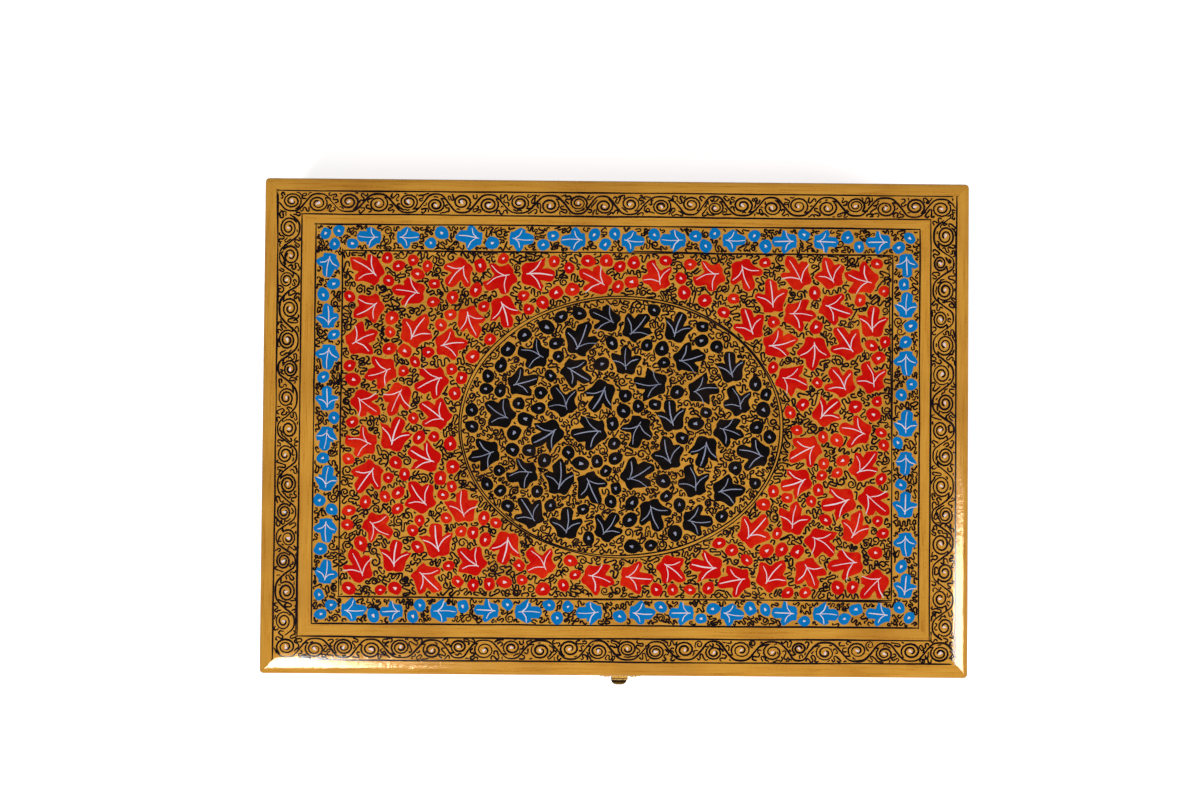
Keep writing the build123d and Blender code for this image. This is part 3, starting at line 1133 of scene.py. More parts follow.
def light_outline(rng: np.random.Generator) -> Points:
    """The white touch on a bud: a small heart or drop.

    Args:
        rng: the hand.

    Returns:
        Its outline.
    """
    right = [(-0.85, 0.0), (-0.1, -0.42), (0.62, -0.58), (0.8, -0.22)]
    left = [(0.8, 0.26), (0.6, 0.56), (-0.1, 0.44)]
    corners = np.array([*right, (rng.uniform(0.35, 0.75), 0.02), *left])
    return round_curve(corners * rng.uniform(0.74, 0.94))


@dataclass
class MotifBook:
    """The shapes that the whole box is painted with, drawn once."""

    brush: Brush
    stencils: Stencils
    seed: int = 11
    variants: int = 10
    narrow: int = 5  # slim leaves, which come after the others
    SUNK = -0.03  # the foot of the paint, its top, and the top of a touch of light on it
    PAINT_TOP = 0.09
    LIGHT_TOP = 0.14

    def __post_init__(self) -> None:
        """Draws the variants and meshes them."""
        rng = np.random.default_rng(self.seed)
        self.leaves = [ChinarLeaf.drawn(rng, across) for across in [1.0] * self.variants + [0.74] * self.narrow]
        self.buds = [bud_outline(rng) for _ in range(self.variants)]
        lights = [light_outline(rng) for _ in range(self.variants)]
        self.leaf_shapes = self._painted([leaf.outline for leaf in self.leaves], 0.975)
        self.bud_shapes = self._painted(self.buds, 0.95)
        self.light_shapes = [plate(light, self.PAINT_TOP - 0.04, self.LIGHT_TOP, 0.8) for light in lights]
        self.touch_shapes = self._painted([light * (1.3, 1.0) for light in lights], 0.8)
        self.vein_shapes = [self._veins(leaf, rng) for leaf in self.leaves]

    def _painted(self, outlines: Sequence[Points], inset: float) -> list[bpy.types.Mesh]:
        """Each outline as a plate of paint."""
        return [plate(outline, self.SUNK, self.PAINT_TOP, inset) for outline in outlines]

    def _veins(self, leaf: ChinarLeaf, rng: np.random.Generator) -> bpy.types.Mesh:
        """The three veins of one leaf, on top of its paint.

        Args:
            leaf: the leaf.
            rng: the hand.

        Returns:
            One mesh.
        """
        widths = (0.32, 0.28, 0.28)
        mesh = self.brush.mesh([pull(vein, width, rng) for vein, width in zip(leaf.veins, widths)], None)
        for vertex in mesh.vertices:
            vertex.co.z += self.PAINT_TOP
        mesh.materials.clear()
        return mesh


@dataclass(frozen=True)
class Planting:
    """How thickly a carpet is filled, and with what sizes. Sizes are shares of the usual ones."""

    spacing: float = 11.0  # between leaves, in millimetres
    leaf_sizes: Span = (1.03, 1.15)
    leaf_tries: int = 9000
    buds: int = 178  # the most that there may be
    bud_sizes: Span = (0.86, 1.14)
    bud_tries: int = 9000
    gap: float = 0.62  # between squiggles
    width: float = 0.63  # of their line
    turns: Span = (0.43, 0.64)  # the radius of a wave's turns
    reach: Span = (0.6, 1.9)  # and how far it runs between them


# each kind of squiggle in turn, and how many spots are tried with it on a square centimetre
WAVES = ((Squiggle.CURL, 15), (Squiggle.MEANDER, 130), (Squiggle.CURL, 16))
CARPET_FILL = (*WAVES, (Squiggle.TICK, 70), (Squiggle.DOT, 2))


@dataclass
class Carpet:
    """A patch of ground filled with leaves, buds and squiggles of one colour."""

    book: MotifBook
    ground: Ground
    rng: np.random.Generator
    planting: Planting = Planting()
    leaves: list[Print] = field(default_factory=list)
    buds: list[Print] = field(default_factory=list)
    ink: list[Stroke] = field(default_factory=list)
    STEP = 0.28  # between the points of a wave
    RECENT = 5  # how many of its last points a wave may come close to
    CLEAR = 0.6  # how far it stays from the others
    LEAST = 12  # points in the shortest wave that is kept
    LINK = 1.6  # how far apart two ends may be that run on into each other
    LONG_LINK = 2.5  # the same, where one of the two lines is short
    SHORT = 22  # points in a line that counts as short
    CURLED = 0.65  # the share of a wave's ends that may curl
    WOBBLE = 0.045  # how far its points stray
    LEAF_MIDDLE = 2.6  # how far a leaf's middle is from its foot
    BUD_ROOM = (2.4, 0.15)  # the ground that a bud takes: a radius for its size, and a margin

    def add_leaf(self, leaf: Print, gap: float) -> bool:
        """Adds a leaf if all the ground under it is bare.

        Args:
            leaf: where its foot goes.
            gap: the room that it keeps round it.

        Returns:
            True if it was added.
        """
        outline = turned(self.book.leaves[leaf.shape].outline * leaf.size, leaf.turn) + leaf.at
        if not self.ground.is_bare(outline):
            return False
        self.ground.take(evenly(outline, 0.2), gap)
        for share in (0.86, 0.7, 0.54, 0.38, 0.22, 0.06):
            self.ground.take(evenly(leaf.at + (outline - leaf.at) * share, 0.5), 0.75)
        self.leaves.append(leaf)
        return True

    def add_bud(self, at: Points, size: float) -> None:
        """Adds a bud if all the ground under it is bare.

        Args:
            at: its middle.
            size: its size.
        """
        turn, shape = self.rng.uniform(0, TAU), int(self.rng.integers(self.book.variants))
        if self.ground.is_bare(turned(self.book.buds[shape] * size, turn) + at):
            self.ground.take(at[None, :], self.BUD_ROOM[0] * size + self.BUD_ROOM[1])
            self.buds.append(Print(at, turn, size, shape))

    def scatter_leaves(self) -> None:
        """Strews leaves that point anywhere, at least a spacing apart."""
        rng, planting = self.rng, self.planting
        spots: list[Points] = []
        for at in self.ground.bare_spots(rng, planting.leaf_tries):
            if spots and np.min(((np.array(spots) - at) ** 2).sum(1)) < planting.spacing**2:
                continue
            turn, shape = rng.uniform(0, TAU), int(rng.integers(self.book.variants))
            size = rng.uniform(*planting.leaf_sizes)
            foot = at - turned(np.array([[self.LEAF_MIDDLE * size, 0.0]]), turn)[0]
            if self.add_leaf(Print(foot, turn, size, shape), 0.25):
                spots.append(at)

    def scatter_buds(self) -> None:
        """Strews buds into what is bare."""
        for at in self.ground.bare_spots(self.rng, self.planting.bud_tries):
            if len(self.buds) >= self.planting.buds:
                return
            self.add_bud(at, self.rng.uniform(*self.planting.bud_sizes))

    def plant(self) -> None:
        """Leaves, buds and squiggles, in that order."""
        self.scatter_leaves()
        self.scatter_buds()
        self.fill(CARPET_FILL)

    def line_up(self, row: Ruler) -> None:
        """Sets leaves and buds in single file.

        Args:
            row: the line that they stand on.
        """
        rng, book = self.rng, self.book
        self.add_bud(row.spot(-1.3, -1.4), 0.9)
        self.add_bud(row.spot(2.3, 1.9), 0.9)
        s, backwards = 5.4, False
        while s < row.length - 13.0:
            for size in rng.uniform(1.0, 1.08) * np.array((1.0, 0.97, 0.94, 0.90, 0.86)):
                turn = angle_of(row.along) + (math.pi if backwards else 0) + rng.normal(0, 0.07)
                foot = row.spot(s + (7.6 if backwards else 2.0) * size, rng.normal(0, 0.12))
                shape = book.variants + int(rng.integers(book.narrow))
                if self.add_leaf(Print(foot, turn, float(size), shape), 0.2):
                    break
            s += 9.3 * size + 2.2
            lift = float(rng.choice((-1.0, 1.0)))
            for _ in range(int(rng.choice((1, 1, 2, 2, 3)))):
                if s < row.length - 5.5:
                    self.add_bud(row.spot(s, lift * rng.uniform(1.4, 2.1)), rng.uniform(0.92, 1.08))
                s, lift = s + rng.uniform(3.4, 4.4), -lift
            s -= rng.uniform(0.6, 1.1)
            backwards = not backwards

    def fill(self, kinds: Sequence[tuple[Squiggle, int]]) -> None:
        """Fills what is bare with squiggles.

        Args:
            kinds: each kind of squiggle and how many spots are tried with it on a square centimetre.
        """
        bare = self.ground.bare_area() / 100
        draw = dict(zip(Squiggle, (self._meander, self._curl, self._tick, self._dot)))
        room, lines = self.ground.snapshot(), []
        for kind, tries in kinds:
            for at in self.ground.bare_spots(self.rng, int(tries * bare)):
                line = draw[kind](at) if self.ground.is_bare(at[None, :]) else None
                if line is not None:
                    self.ground.take(evenly(line, 0.3), self.planting.gap)
                    lines.append(line)
        self.ink += [pull(line, self.planting.width, self.rng) for line in self._linked(lines, room)]

    def _linked(self, lines: list[Points], room: Ground) -> list[Points]:
        """The lines run on into each other wherever two of their ends lie close.

        Args:
            lines: single lines. Line k has the ends 2k and 2k + 1.
            room: the ground that a join may cross.

        Returns:
            Fewer and longer lines.
        """
        ends = np.array([line[i] for line in lines for i in (0, -1)])
        ways = ends - np.array([line[i] for line in lines for i in (1, -2)])
        ways /= np.maximum(np.linalg.norm(ways, axis=1, keepdims=True), 1e-9)
        apart = np.triu(((ends[:, None, :] - ends[None, :, :]) ** 2).sum(2), 1)
        short = np.repeat([len(line) < self.SHORT for line in lines], 2)
        reach = np.where(short[:, None] | short[None, :], self.LONG_LINK, self.LINK)
        pairs = np.argwhere((apart > 0) & (apart < reach**2))
        far = [end ^ 1 for end in range(len(ends))]
        joins: dict[int, tuple[int, Points]] = {}
        for a, b in pairs[np.argsort(apart[pairs[:, 0], pairs[:, 1]])].tolist():
            if a in joins or b in joins or far[a] == b:
                continue
            bow = (0.45 * math.sqrt(apart[a, b]) + 0.15) * ways[[a, b]]
            t = np.linspace(0, 1, 3 + round(math.sqrt(apart[a, b]) / self.STEP))[1:-1, None]
            rest = 1 - t
            join = rest**3 * ends[a] + 3 * t * rest**2 * (ends[a] + bow[0])
            join += 3 * t**2 * rest * (ends[b] + bow[1]) + t**3 * ends[b]
            if room.is_bare(join):
                joins[a], joins[b] = (b, join), (a, join[::-1])
                far[far[a]], far[far[b]] = far[b], far[a]
        starts = [end for end in range(len(ends)) if end not in joins and end < far[end]]
        return [self._chain(start, lines, joins) for start in starts]

    def _chain(self, end: int, lines: list[Points], joins: dict[int, tuple[int, Points]]) -> Points:
        """One long line, followed from its free end through its joins.

        Args:
            end: the free end.
            lines: the single lines.
            joins: for each end that runs on, the end that it runs into and the points between them.

        Returns:
            The whole line.
        """
        parts = []
        while True:
            line = lines[end // 2]
            parts.append(line if end % 2 == 0 else line[::-1])
            if end ^ 1 not in joins:
                return np.concatenate(parts)
            end, join = joins[end ^ 1]
            parts.append(join)

    def _meander(self, at: Points) -> Points | None:
        """A wave with round turns that runs as far across each gap as it can, often with a curl at an end.

        Args:
            at: where it is begun. It grows both ways from there.

        Returns:
            The line, or nothing if there is too little room.
        """
        rng = self.rng
        radius, reach = rng.uniform(*self.planting.turns), rng.uniform(*self.planting.reach)
        heading, side = rng.uniform(0, TAU), int(rng.choice((-1, 1)))
        line = at[None, :]
        for _ in range(2):
            line = self._wave(line, heading, side, radius, reach)
            if len(line) < 4:
                return None
            heading, side, line = angle_of(line[0] - line[1]), -side, line[::-1]
        if len(line) < self.LEAST:
            return None
        line = line + rng.normal(0, self.WOBBLE, line.shape)
        if rng.random() < self.CURLED:
            line = self._with_curl(line)
        return self._with_curl(line[::-1]) if rng.random() < self.CURLED else line

    def _wave(self, line: Points, heading: float, side: int, radius: float, reach: float) -> Points:
        """Draws a wave on from a line's end.

        Args:
            line: the line.
            heading: which way the wave sets out.
            side: 1 if its first turn is to the left, -1 if it is to the right.
            radius: the radius of its turns.
            reach: how far it runs between them.

        Returns:
            The longer line.
        """
        rng = self.rng
        for _ in range(int(rng.integers(2, 8))):
            before = len(line)
            line = self._onward(line, heading, reach * rng.uniform(0.55, 1.25))
            turn, size = rng.uniform(2.6, 3.5), radius * rng.uniform(0.9, 1.15)
            for back, way in ((0, side), (1, side), (2, side), (4, side), (0, -side), (2, -side)):
                if len(line) - back < before:
                    continue
                stem = line[: len(line) - back]
                bend = self._bend(stem, heading, way, size, turn)
                if bend is not None:
                    line, heading, side = np.concatenate([stem, bend]), heading + way * turn, -way
                    break
            else:
                break
        return line

    def _clear(self, line: Points, more: Points) -> Points:
        """Finds which points a line may be drawn on through.

        Args:
            line: the line.
            more: the points.

        Returns:
            True for each one on bare ground and clear of the line's older points.
        """
        clear = self.ground.bare(more)
        old = line[: -self.RECENT]
        if len(old):
            clear &= ((old[:, None, :] - more[None, :, :]) ** 2).sum(2).min(0) > self.CLEAR**2
        return clear

    def _onward(self, line: Points, heading: float, length: float) -> Points:
        """Draws a line straight on.

        Args:
            line: the line.
            heading: which way.
            length: how far, if nothing is in its way.

        Returns:
            The longer line.
        """
        count = max(1, round(length / self.STEP))
        steps = np.arange(1, count + 1)[:, None] * self.STEP
        more = line[-1] + steps * ray(heading)
        clear = self._clear(line, more)
        return np.concatenate([line, more if clear.all() else more[: int(np.argmin(clear))]])

    def _bend(self, line: Points, heading: float, side: int, radius: float, turn: float) -> Points | None:
        """An arc on from a line's end.

        Args:
            line: the line.
            heading: which way it was going.
            side: 1 to turn to the left, -1 to the right.
            radius: the arc's radius.
            turn: how far round it goes.

        Returns:
            The arc, or nothing if something is in its way.
        """
        sweep = np.linspace(0, turn, max(5, round(radius * turn / self.STEP)) + 1)[1:]
        bend = arc(line[-1], heading, side, radius, sweep, radius)
        return bend if self._clear(line, bend).all() else None

    def _with_curl(self, line: Points) -> Points:
        """Ends a line in a curl, if there is room for one.

        Args:
            line: the line.

        Returns:
            The line, with or without its curl.
        """
        heading, old = angle_of(line[-1] - line[-2]), line[:-4, None, :]
        for side in (1, -1):
            curl = curl_from(line[-1], heading, side, self.rng.uniform(0.9, 1.5), self.rng.uniform(0.7, 1.15))
            free = not len(old) or np.min(((old - curl[None, :, :]) ** 2).sum(2)) > 0.2
            if free and self.ground.is_bare(curl):
                return np.concatenate([line, curl])
        return line

    def _curl(self, at: Points) -> Points | None:
        """A spiral with a short tail.

        Args:
            at: where the tail runs into it.

        Returns:
            The line, or nothing if there is too little room.
        """
        rng = self.rng
        heading, side, reach = rng.uniform(0, TAU), int(rng.choice((-1, 1))), rng.uniform(1.3, 1.85)
        tail = at - np.outer(np.linspace(rng.uniform(0.6, 1.6), 0.35, 3), ray(heading))
        line = np.concatenate([tail, at[None, :], curl_from(at, heading, side, reach, rng.uniform(1.05, 1.45))])
        return line if self.ground.is_bare(line) else None

    def _tick(self, at: Points) -> Points | None:
        """A short bent dash.

        Args:
            at: its middle.

        Returns:
            The line, or nothing if there is too little room.
        """
        t = np.linspace(-0.5, 0.5, 4)
        dash = np.stack([t * self.rng.uniform(0.9, 1.8), self.rng.normal(0, 0.35) * (1 - 4 * t * t)], axis=1)
        line = turned(dash, self.rng.uniform(0, TAU)) + at
        return line if self.ground.is_bare(line) else None

    def _dot(self, at: Points) -> Points | None:
        """A touch of the brush's tip."""
        return turned(np.array([(-0.12, 0.0), (0.0, 0.02), (0.12, 0.0)]), self.rng.uniform(0, TAU)) + at


# ---------------- borders
@dataclass(frozen=True)
class Frame:
    """A hand-ruled rectangle: how far each line lies from the edge of the face, in millimetres."""

    left: float
    right: float
    front: float
    back: float

    def sides(self, canvas: Canvas) -> Points:
        """(low u, high u, low v, high v) on a canvas."""
        half_u, half_v = canvas.half
        return np.array([-half_u + self.left, half_u - self.right, -half_v + self.front, half_v - self.back])

    def holds(self, canvas: Canvas, inset: float) -> Test:
        """A test for points inside the rectangle, drawn in by an inset."""
        low, high = self.sides(canvas).reshape(2, 2).T
        return lambda points: ((points > low + inset) & (points < high - inset)).all(axis=-1)

    def ruled(self, canvas: Canvas, rng: np.random.Generator, width: float = 0.62) -> list[Stroke]:
        """Its four lines, each ruled by hand with a little wander and overshoot.

        Args:
            canvas: the face that it is ruled on.
            rng: the hand.
            width: the line's width.

        Returns:
            The lines. Part of some of them is gone over twice.
        """
        strokes = []
        for side in Ruler.round_trip(*self.sides(canvas)):
            over = rng.uniform(-0.1, 0.7, 2)
            line = evenly(np.array([side.start - side.along * over[0], side.end + side.along * over[1]]), 3.2)
            drift = np.cumsum(rng.normal(0, 0.03, len(line)))
            drift -= np.linspace(drift[0], drift[-1], len(line))
            line = line + drift[:, None] * side.across
            strokes.append(pull(line, width, rng))
            if len(line) > 20 and rng.random() < 0.6:
                first = int(rng.integers(0, len(line) - 12))
                again = line[first : first + int(rng.integers(8, 30))]
                slip = np.linspace(rng.normal(0, 0.25), rng.normal(0, 0.45), len(again))
                strokes.append(pull(again + slip[:, None] * side.across, width * 0.75, rng))
        return strokes


@dataclass
class ScrollBand:
    """A running vine between two ruled lines, with a spiral and a white touch in each bend."""

    carpet: Carpet  # takes the vine's strokes as well
    touches: list[Print] = field(default_factory=list)
    PITCH = 10.3  # from bend to bend
    END = 0.4  # how far from the ruled line a run starts and ends
    SHORT_END = 0.2  # the same, where it meets another run
    LINE = 0.68
    KEPT = 0.8  # the radius round a touch that stays free of lines
    LINE_ROOM = 0.62  # how far round a line the ground is taken
    CORNERS = Planting(gap=0.66, width=0.60)  # what fills the corners round the vine
    FRINGE = ((Squiggle.CURL, 20), (Squiggle.MEANDER, 90), (Squiggle.TICK, 220))

    def run(self, course: Ruler, width: float) -> None:
        """Draws the band along its middle line.

        Args:
            course: the middle line.
            width: the room between the ruled lines.
        """
        rng = self.carpet.rng
        bends = max(1, int(round(course.length / self.PITCH)))
        reach = width / 2 - 0.75
        cuts = np.arange(bends + 1) + np.concatenate([[0], rng.normal(0, 0.085, bends - 1), [0]])
        cuts = cuts * course.length / bends
        corners = [(cuts[0], 0.0)]
        for k in range(bends):
            side, room = (1 if k % 2 == 0 else -1), cuts[k + 1] - cuts[k]
            low = -side * reach * rng.uniform(0.9, 1.0)
            bow = ((0.24, 0.82), (0.5, 1.0), (0.76, 0.82))
            corners += [(cuts[k] + room * share, low * depth) for share, depth in bow]
            corners.append((cuts[k + 1], 0.0))
            self._spiral(course, cuts[k] + room / 2, side, room, reach)
        self._draw(course.placed(open_curve(corners, 4)))

    def _draw(self, line: Points) -> None:
        """Draws one line and takes its ground."""
        self.carpet.ink.append(pull(line, self.LINE, self.carpet.rng))
        self.carpet.ground.take(evenly(line, 0.3), self.LINE_ROOM)

    def _spiral(self, course: Ruler, at: float, side: int, room: float, reach: float) -> None:
        """Draws the spiral in one bend, wound in from the vine, and its white touch.

        Args:
            course: the band's middle line.
            at: how far along it the bend's middle is.
            side: 1 if the spiral lies to the left of the line, -1 if it lies to the right.
            room: the bend's length.
            reach: how far the vine swings out from the line.
        """
        rng = self.carpet.rng
        outer = min(reach * 0.92, room * 0.33) * rng.uniform(0.95, 1.05)
        turns = min(rng.uniform(1.75, 2.25), (outer - self.KEPT) / 0.94)
        sweep = np.linspace(0, turns * TAU, int(turns * 14))
        radius = outer - (outer - self.KEPT) * (sweep / sweep[-1]) ** 1.15
        swing = side * (sweep - 0.28 * math.pi + rng.normal(0, 0.2))
        middle = np.array([at + rng.normal(0, 0.2), side * (reach - outer * 0.93) * 0.8])
        curl = middle + ray(swing) * radius[:, None] * (1.08, 0.93)
        stem = np.array([at + room * 0.44, -side * reach * 0.35])
        bow = (stem + curl[0]) / 2 + np.array([0.15, -side * 0.2])
        self._draw(course.placed(np.concatenate([open_curve([stem, bow, curl[0]], 3)[:-1], curl])))
        spot = course.spot(*middle)
        turn, size = rng.uniform(0, TAU), rng.uniform(0.8, 1.05)
        self.touches.append(Print(spot, turn, size, int(rng.integers(self.carpet.book.variants))))
        self.carpet.ground.take(spot[None, :], 1.0)


# ---------------- the painter
class Painter:
    """Lays drawings on the box as pieces of paint."""

    def __init__(self, workshop: Workshop) -> None:
        """Draws up the shapes and fills the pots."""
        self.workshop, self.book = workshop, MotifBook(Brush(), Stencils())
        self.pots = {pot: pot.value.material() for pot in Pot}

    def leaves(self, name: str, paint: Pot, light: Pot, parts: Sequence[tuple[Canvas, Carpet]]) -> None:
        """Lays the leaves and buds of some carpets, and the light lines on them, as two pieces.

        Args:
            name: what the pieces' names start with.
            paint: what the leaves are painted with.
            light: what their veins are painted with.
            parts: carpets of one body with their faces.
        """
        book = self.book
        for layer, pot, *shapes in (
            ("leaves", paint, book.leaf_shapes, book.bud_shapes),
            ("veins", light, book.vein_shapes, book.light_shapes),
        ):
            flat = [
                (canvas, [self._printed(*pair, pot) for pair in zip(shapes, (carpet.leaves, carpet.buds))])
                for canvas, carpet in parts
            ]
            self._hang(f"{name}_{layer}", flat)

    def ink(self, name: str, parts: Sequence[tuple[Canvas, Sequence[Stroke]]]) -> None:
        """Lays the ink strokes of some faces as one piece."""
        brush, ink = self.book.brush, self.pots[Pot.INK]
        self._hang(name, [(canvas, [brush.mesh(strokes, ink)]) for canvas, strokes in parts])

    def touches(self, name: str, bands: Sequence[tuple[Canvas, ScrollBand]]) -> None:
        """Lays the white touches of the bands on some faces as one piece."""
        shapes = self.book.touch_shapes
        self._hang(name, [(canvas, [self._printed(shapes, band.touches, Pot.WHITE)]) for canvas, band in bands])

    def _printed(self, shapes: Sequence[bpy.types.Mesh], prints: Sequence[Print], pot: Pot) -> bpy.types.Mesh:
        """Stencilled shapes as one flat mesh."""
        return self.book.stencils.mesh(shapes, prints, self.pots[pot])

    def _hang(self, name: str, parts: Sequence[tuple[Canvas, Sequence[bpy.types.Mesh]]]) -> None:
        """Moves flat meshes onto their faces and hangs them as one piece.

        Args:
            name: the piece's name.
            parts: the meshes of each face, which are all of one body and one finish.
        """
        laid = [
            canvas.carry(flat, tile, len(parts))
            for tile, (canvas, meshes) in enumerate(parts)
            for flat in meshes
        ]
        self.workshop.hang(name, joined(name, laid), parts[0][0].body, "paint")


# ---------------- sub-assemblies
@dataclass
class LidTop:
    """The lid's painted top: scroll band, leaf border, red field and black medallion."""

    painter: Painter
    seed: int = 5
    edge_slope: float = 0.5  # how steep the top is at its very edge
    softness: float = 3.0  # how quickly it flattens, in millimetres
    flat_from: float = 13.8  # the distance from the edge where it is flat
    arris: float = 1.1
    corner: float = 1.5
    scroll_outer: Frame = Frame(4.8, 4.7, 5.1, 4.7)
    scroll_inner: Frame = Frame(13.5, 14.1, 13.5, 13.1)
    leaf_outer: Frame = Frame(18.6, 18.0, 18.0, 16.7)
    leaf_inner: Frame = Frame(28.2, 27.8, 27.7, 26.1)
    medallion_at: Span = (1.8, 0.2)
    medallion_half: Span = (57.2, 46.2)
    medallion_gap: float = 0.9  # between its two lines
    border_planting: Planting = Planting(
        buds=140, bud_sizes=(0.88, 1.06), bud_tries=6000,
        gap=0.52, width=0.62, turns=(0.34, 0.5), reach=(0.5, 1.5),
    )
    field_planting: Planting = Planting()
    medallion_planting: Planting = Planting(
        spacing=10.9, leaf_sizes=(1.0, 1.13), leaf_tries=6000, buds=128, bud_sizes=(0.96, 1.24),
        gap=0.55, width=0.62, turns=(0.36, 0.58), reach=(0.4, 1.4),
    )

    @cached_property
    def canvas(self) -> Canvas:
        """The face.

        Returns:
            A canvas with the size of the board's own box.
        """
        low, high = box_of("lid_board")
        middle = (low + high) / 2
        middle[2] = high[2]
        return Canvas(Body.LID, middle, (1, 0, 0), (0, 1, 0), (high - low)[:2] / 2 / MM, self.bulge)

    @cached_property
    def rest(self) -> float:
        """How far inside the edge the arris meets the top, as a share of its radius."""
        return 1 - math.cos(math.atan(1 / self.edge_slope))

    def bulge(self, points: Points) -> Points:
        """How far the top lies under the board's box, as a negative height in millimetres.

        Args:
            points: (u, v) in the last axis.

        Returns:
            The heights. The pulp isn't quite flat, so they wander by some hundredths.
        """
        u, v = points[..., 0], points[..., 1]
        edge = (self.canvas.half - np.abs(points)).min(axis=-1)
        fall = np.exp(-np.minimum(edge, self.flat_from) / self.softness)
        fall = fall - math.exp(-self.flat_from / self.softness)
        broad = np.sin(u * 0.071 + 0.4) * np.sin(v * 0.093 + 1.1) + 0.6 * np.sin(u * 0.031 - v * 0.052 + 2.0)
        fine = np.sin(u * 0.33 + np.sin(v * 0.13)) * np.sin(v * 0.37 + 0.7 * np.sin(u * 0.11))
        return -self.edge_slope * self.softness * fall - 0.05 * (1.6 - broad) - 0.006 * (1 - fine)

    def board(self, lacquer: bpy.types.Material) -> None:
        """Hangs the board itself, with soft edges, in the space of its solid.

        Args:
            lacquer: its finish.
        """
        steps = np.array([0, 0.3, 0.6, 1.0, 1.5, 2, 2.6, 3.2, 4, 5, 6, 7.5, 9, 11, self.flat_from])
        lines = []
        for extent in self.canvas.half:
            count = int((extent - steps[-1]) * 2 / 5)
            inner = np.linspace(-extent + steps[-1], extent - steps[-1], count + 1)[1:-1]
            low = -extent + steps
            lines.append(np.concatenate([low, inner, -low[::-1]]))
        work = bmesh.new()
        rows = [[work.verts.new(self.canvas.lay(self._rounded(u, v))[0]) for v in lines[1]] for u in lines[0]]
        last_u, last_v = len(rows) - 1, len(rows[0]) - 1
        for i, j in product(range(last_u), range(last_v)):
            quad = (rows[i][j], rows[i + 1][j], rows[i + 1][j + 1], rows[i][j + 1])
            ring = min(i, last_u - 1 - i)
            if ring != min(j, last_v - 1 - j) or ring >= len(steps) - 1:
                work.faces.new(quad)
                continue
            first = 0 if (i < last_u / 2) == (j < last_v / 2) else 1  # on a mitre, which is cut along itself
            a, b, c, d = quad[first:] + quad[:first]
            work.faces.new((a, b, c))
            work.faces.new((a, c, d))
        self._skirt(work, rim_of(rows))
        bmesh.ops.recalc_face_normals(work, faces=work.faces)
        for edge in work.edges:
            edge.smooth = edge.calc_face_angle(0.0) < math.radians(40)
        mesh = smooth(mesh_of(work, "lid_top_board"), lacquer)
        self.painter.workshop.hang("lid_top_board", mesh, Body.LID, "gold_lacquer", ["lid_board"])

    def _rounded(self, u: float, v: float) -> Points:
        """Draws a point of the top's grid in from the edge by the arris, and off the corners.

        Args:
            u: where it is along the face.
            v: where it is across it.

        Returns:
            One row: (u, v, 0).
        """
        point, half = np.array([u, v]), self.canvas.half
        place = point * (half - self.arris * self.rest * np.exp(-(half - np.abs(point)) / 1.2)) / half
        into = np.abs(place) - (half - self.corner)
        if (into > 0).all():
            place = np.sign(place) * (half - self.corner + into * into.max() / np.hypot(*into))
        return np.array([[*place, 0.0]])

    def _skirt(self, work: bmesh.types.BMesh, rim: Ring) -> None:
        """Hangs the rounded arris, the upright edge and the underside from the top's rim.

        Args:
            work: the mesh under construction.
            rim: the points round the top.
        """
        foot, middle = box_of("lid_board")[0][2], self.canvas.middle[:2]
        start = math.atan(self.edge_slope)
        ring = rim
        for angle in [*np.linspace(start, math.pi / 2, 5)[1:], None]:
            lower = []
            for vertex in rim:
                at = np.array(vertex.co[:2]) - middle
                if angle is None:
                    reach, height = self.arris * self.rest, foot
                else:
                    reach = self.arris * (math.sin(angle) - math.sin(start))
                    height = vertex.co.z - self.arris * (math.cos(start) - math.cos(angle)) * MM
                moved = at + self._outward(at) * min(reach, self.arris * self.rest) * MM
                lower.append(work.verts.new((*(moved + middle), height)))
            wall(work, ring, lower)
            ring = lower
        work.faces.new(ring)

    def _outward(self, at: Points) -> Points:
        """Which way is out of the board.

        Args:
            at: a point of its rim, in metres from its middle.

        Returns:
            The direction.
        """
        into = np.abs(at) - (self.canvas.half * MM - self.corner * MM)
        if not (into > 0).all():
            into = into == into.max()
        return np.sign(at) * into / np.hypot(*into)

    def in_medallion(self, grow: float) -> Test:
        """A test for points inside the oval, grown by some millimetres."""
        middle, half = np.array(self.medallion_at), np.array(self.medallion_half) + grow
        return lambda points: (((points - middle) / half) ** 2).sum(-1) < 1

    def oval(self, grow: float, rng: np.random.Generator) -> Stroke:
        """The oval's line, ruled a little unevenly.

        Args:
            grow: how far outside the oval it runs.
            rng: the hand.

        Returns:
            The line.
        """
        angles = np.linspace(0, TAU, 150, endpoint=False)
        wander = np.zeros(150)
        for height, waves in ((0.16, 2), (0.1, 5), (0.05, 13)):
            wander += height * np.sin(angles * waves + rng.uniform(0, TAU))
        line = ray(angles) * (np.array(self.medallion_half) + grow + wander[:, None])
        return pull(line + self.medallion_at, 0.5, rng, closed=True)

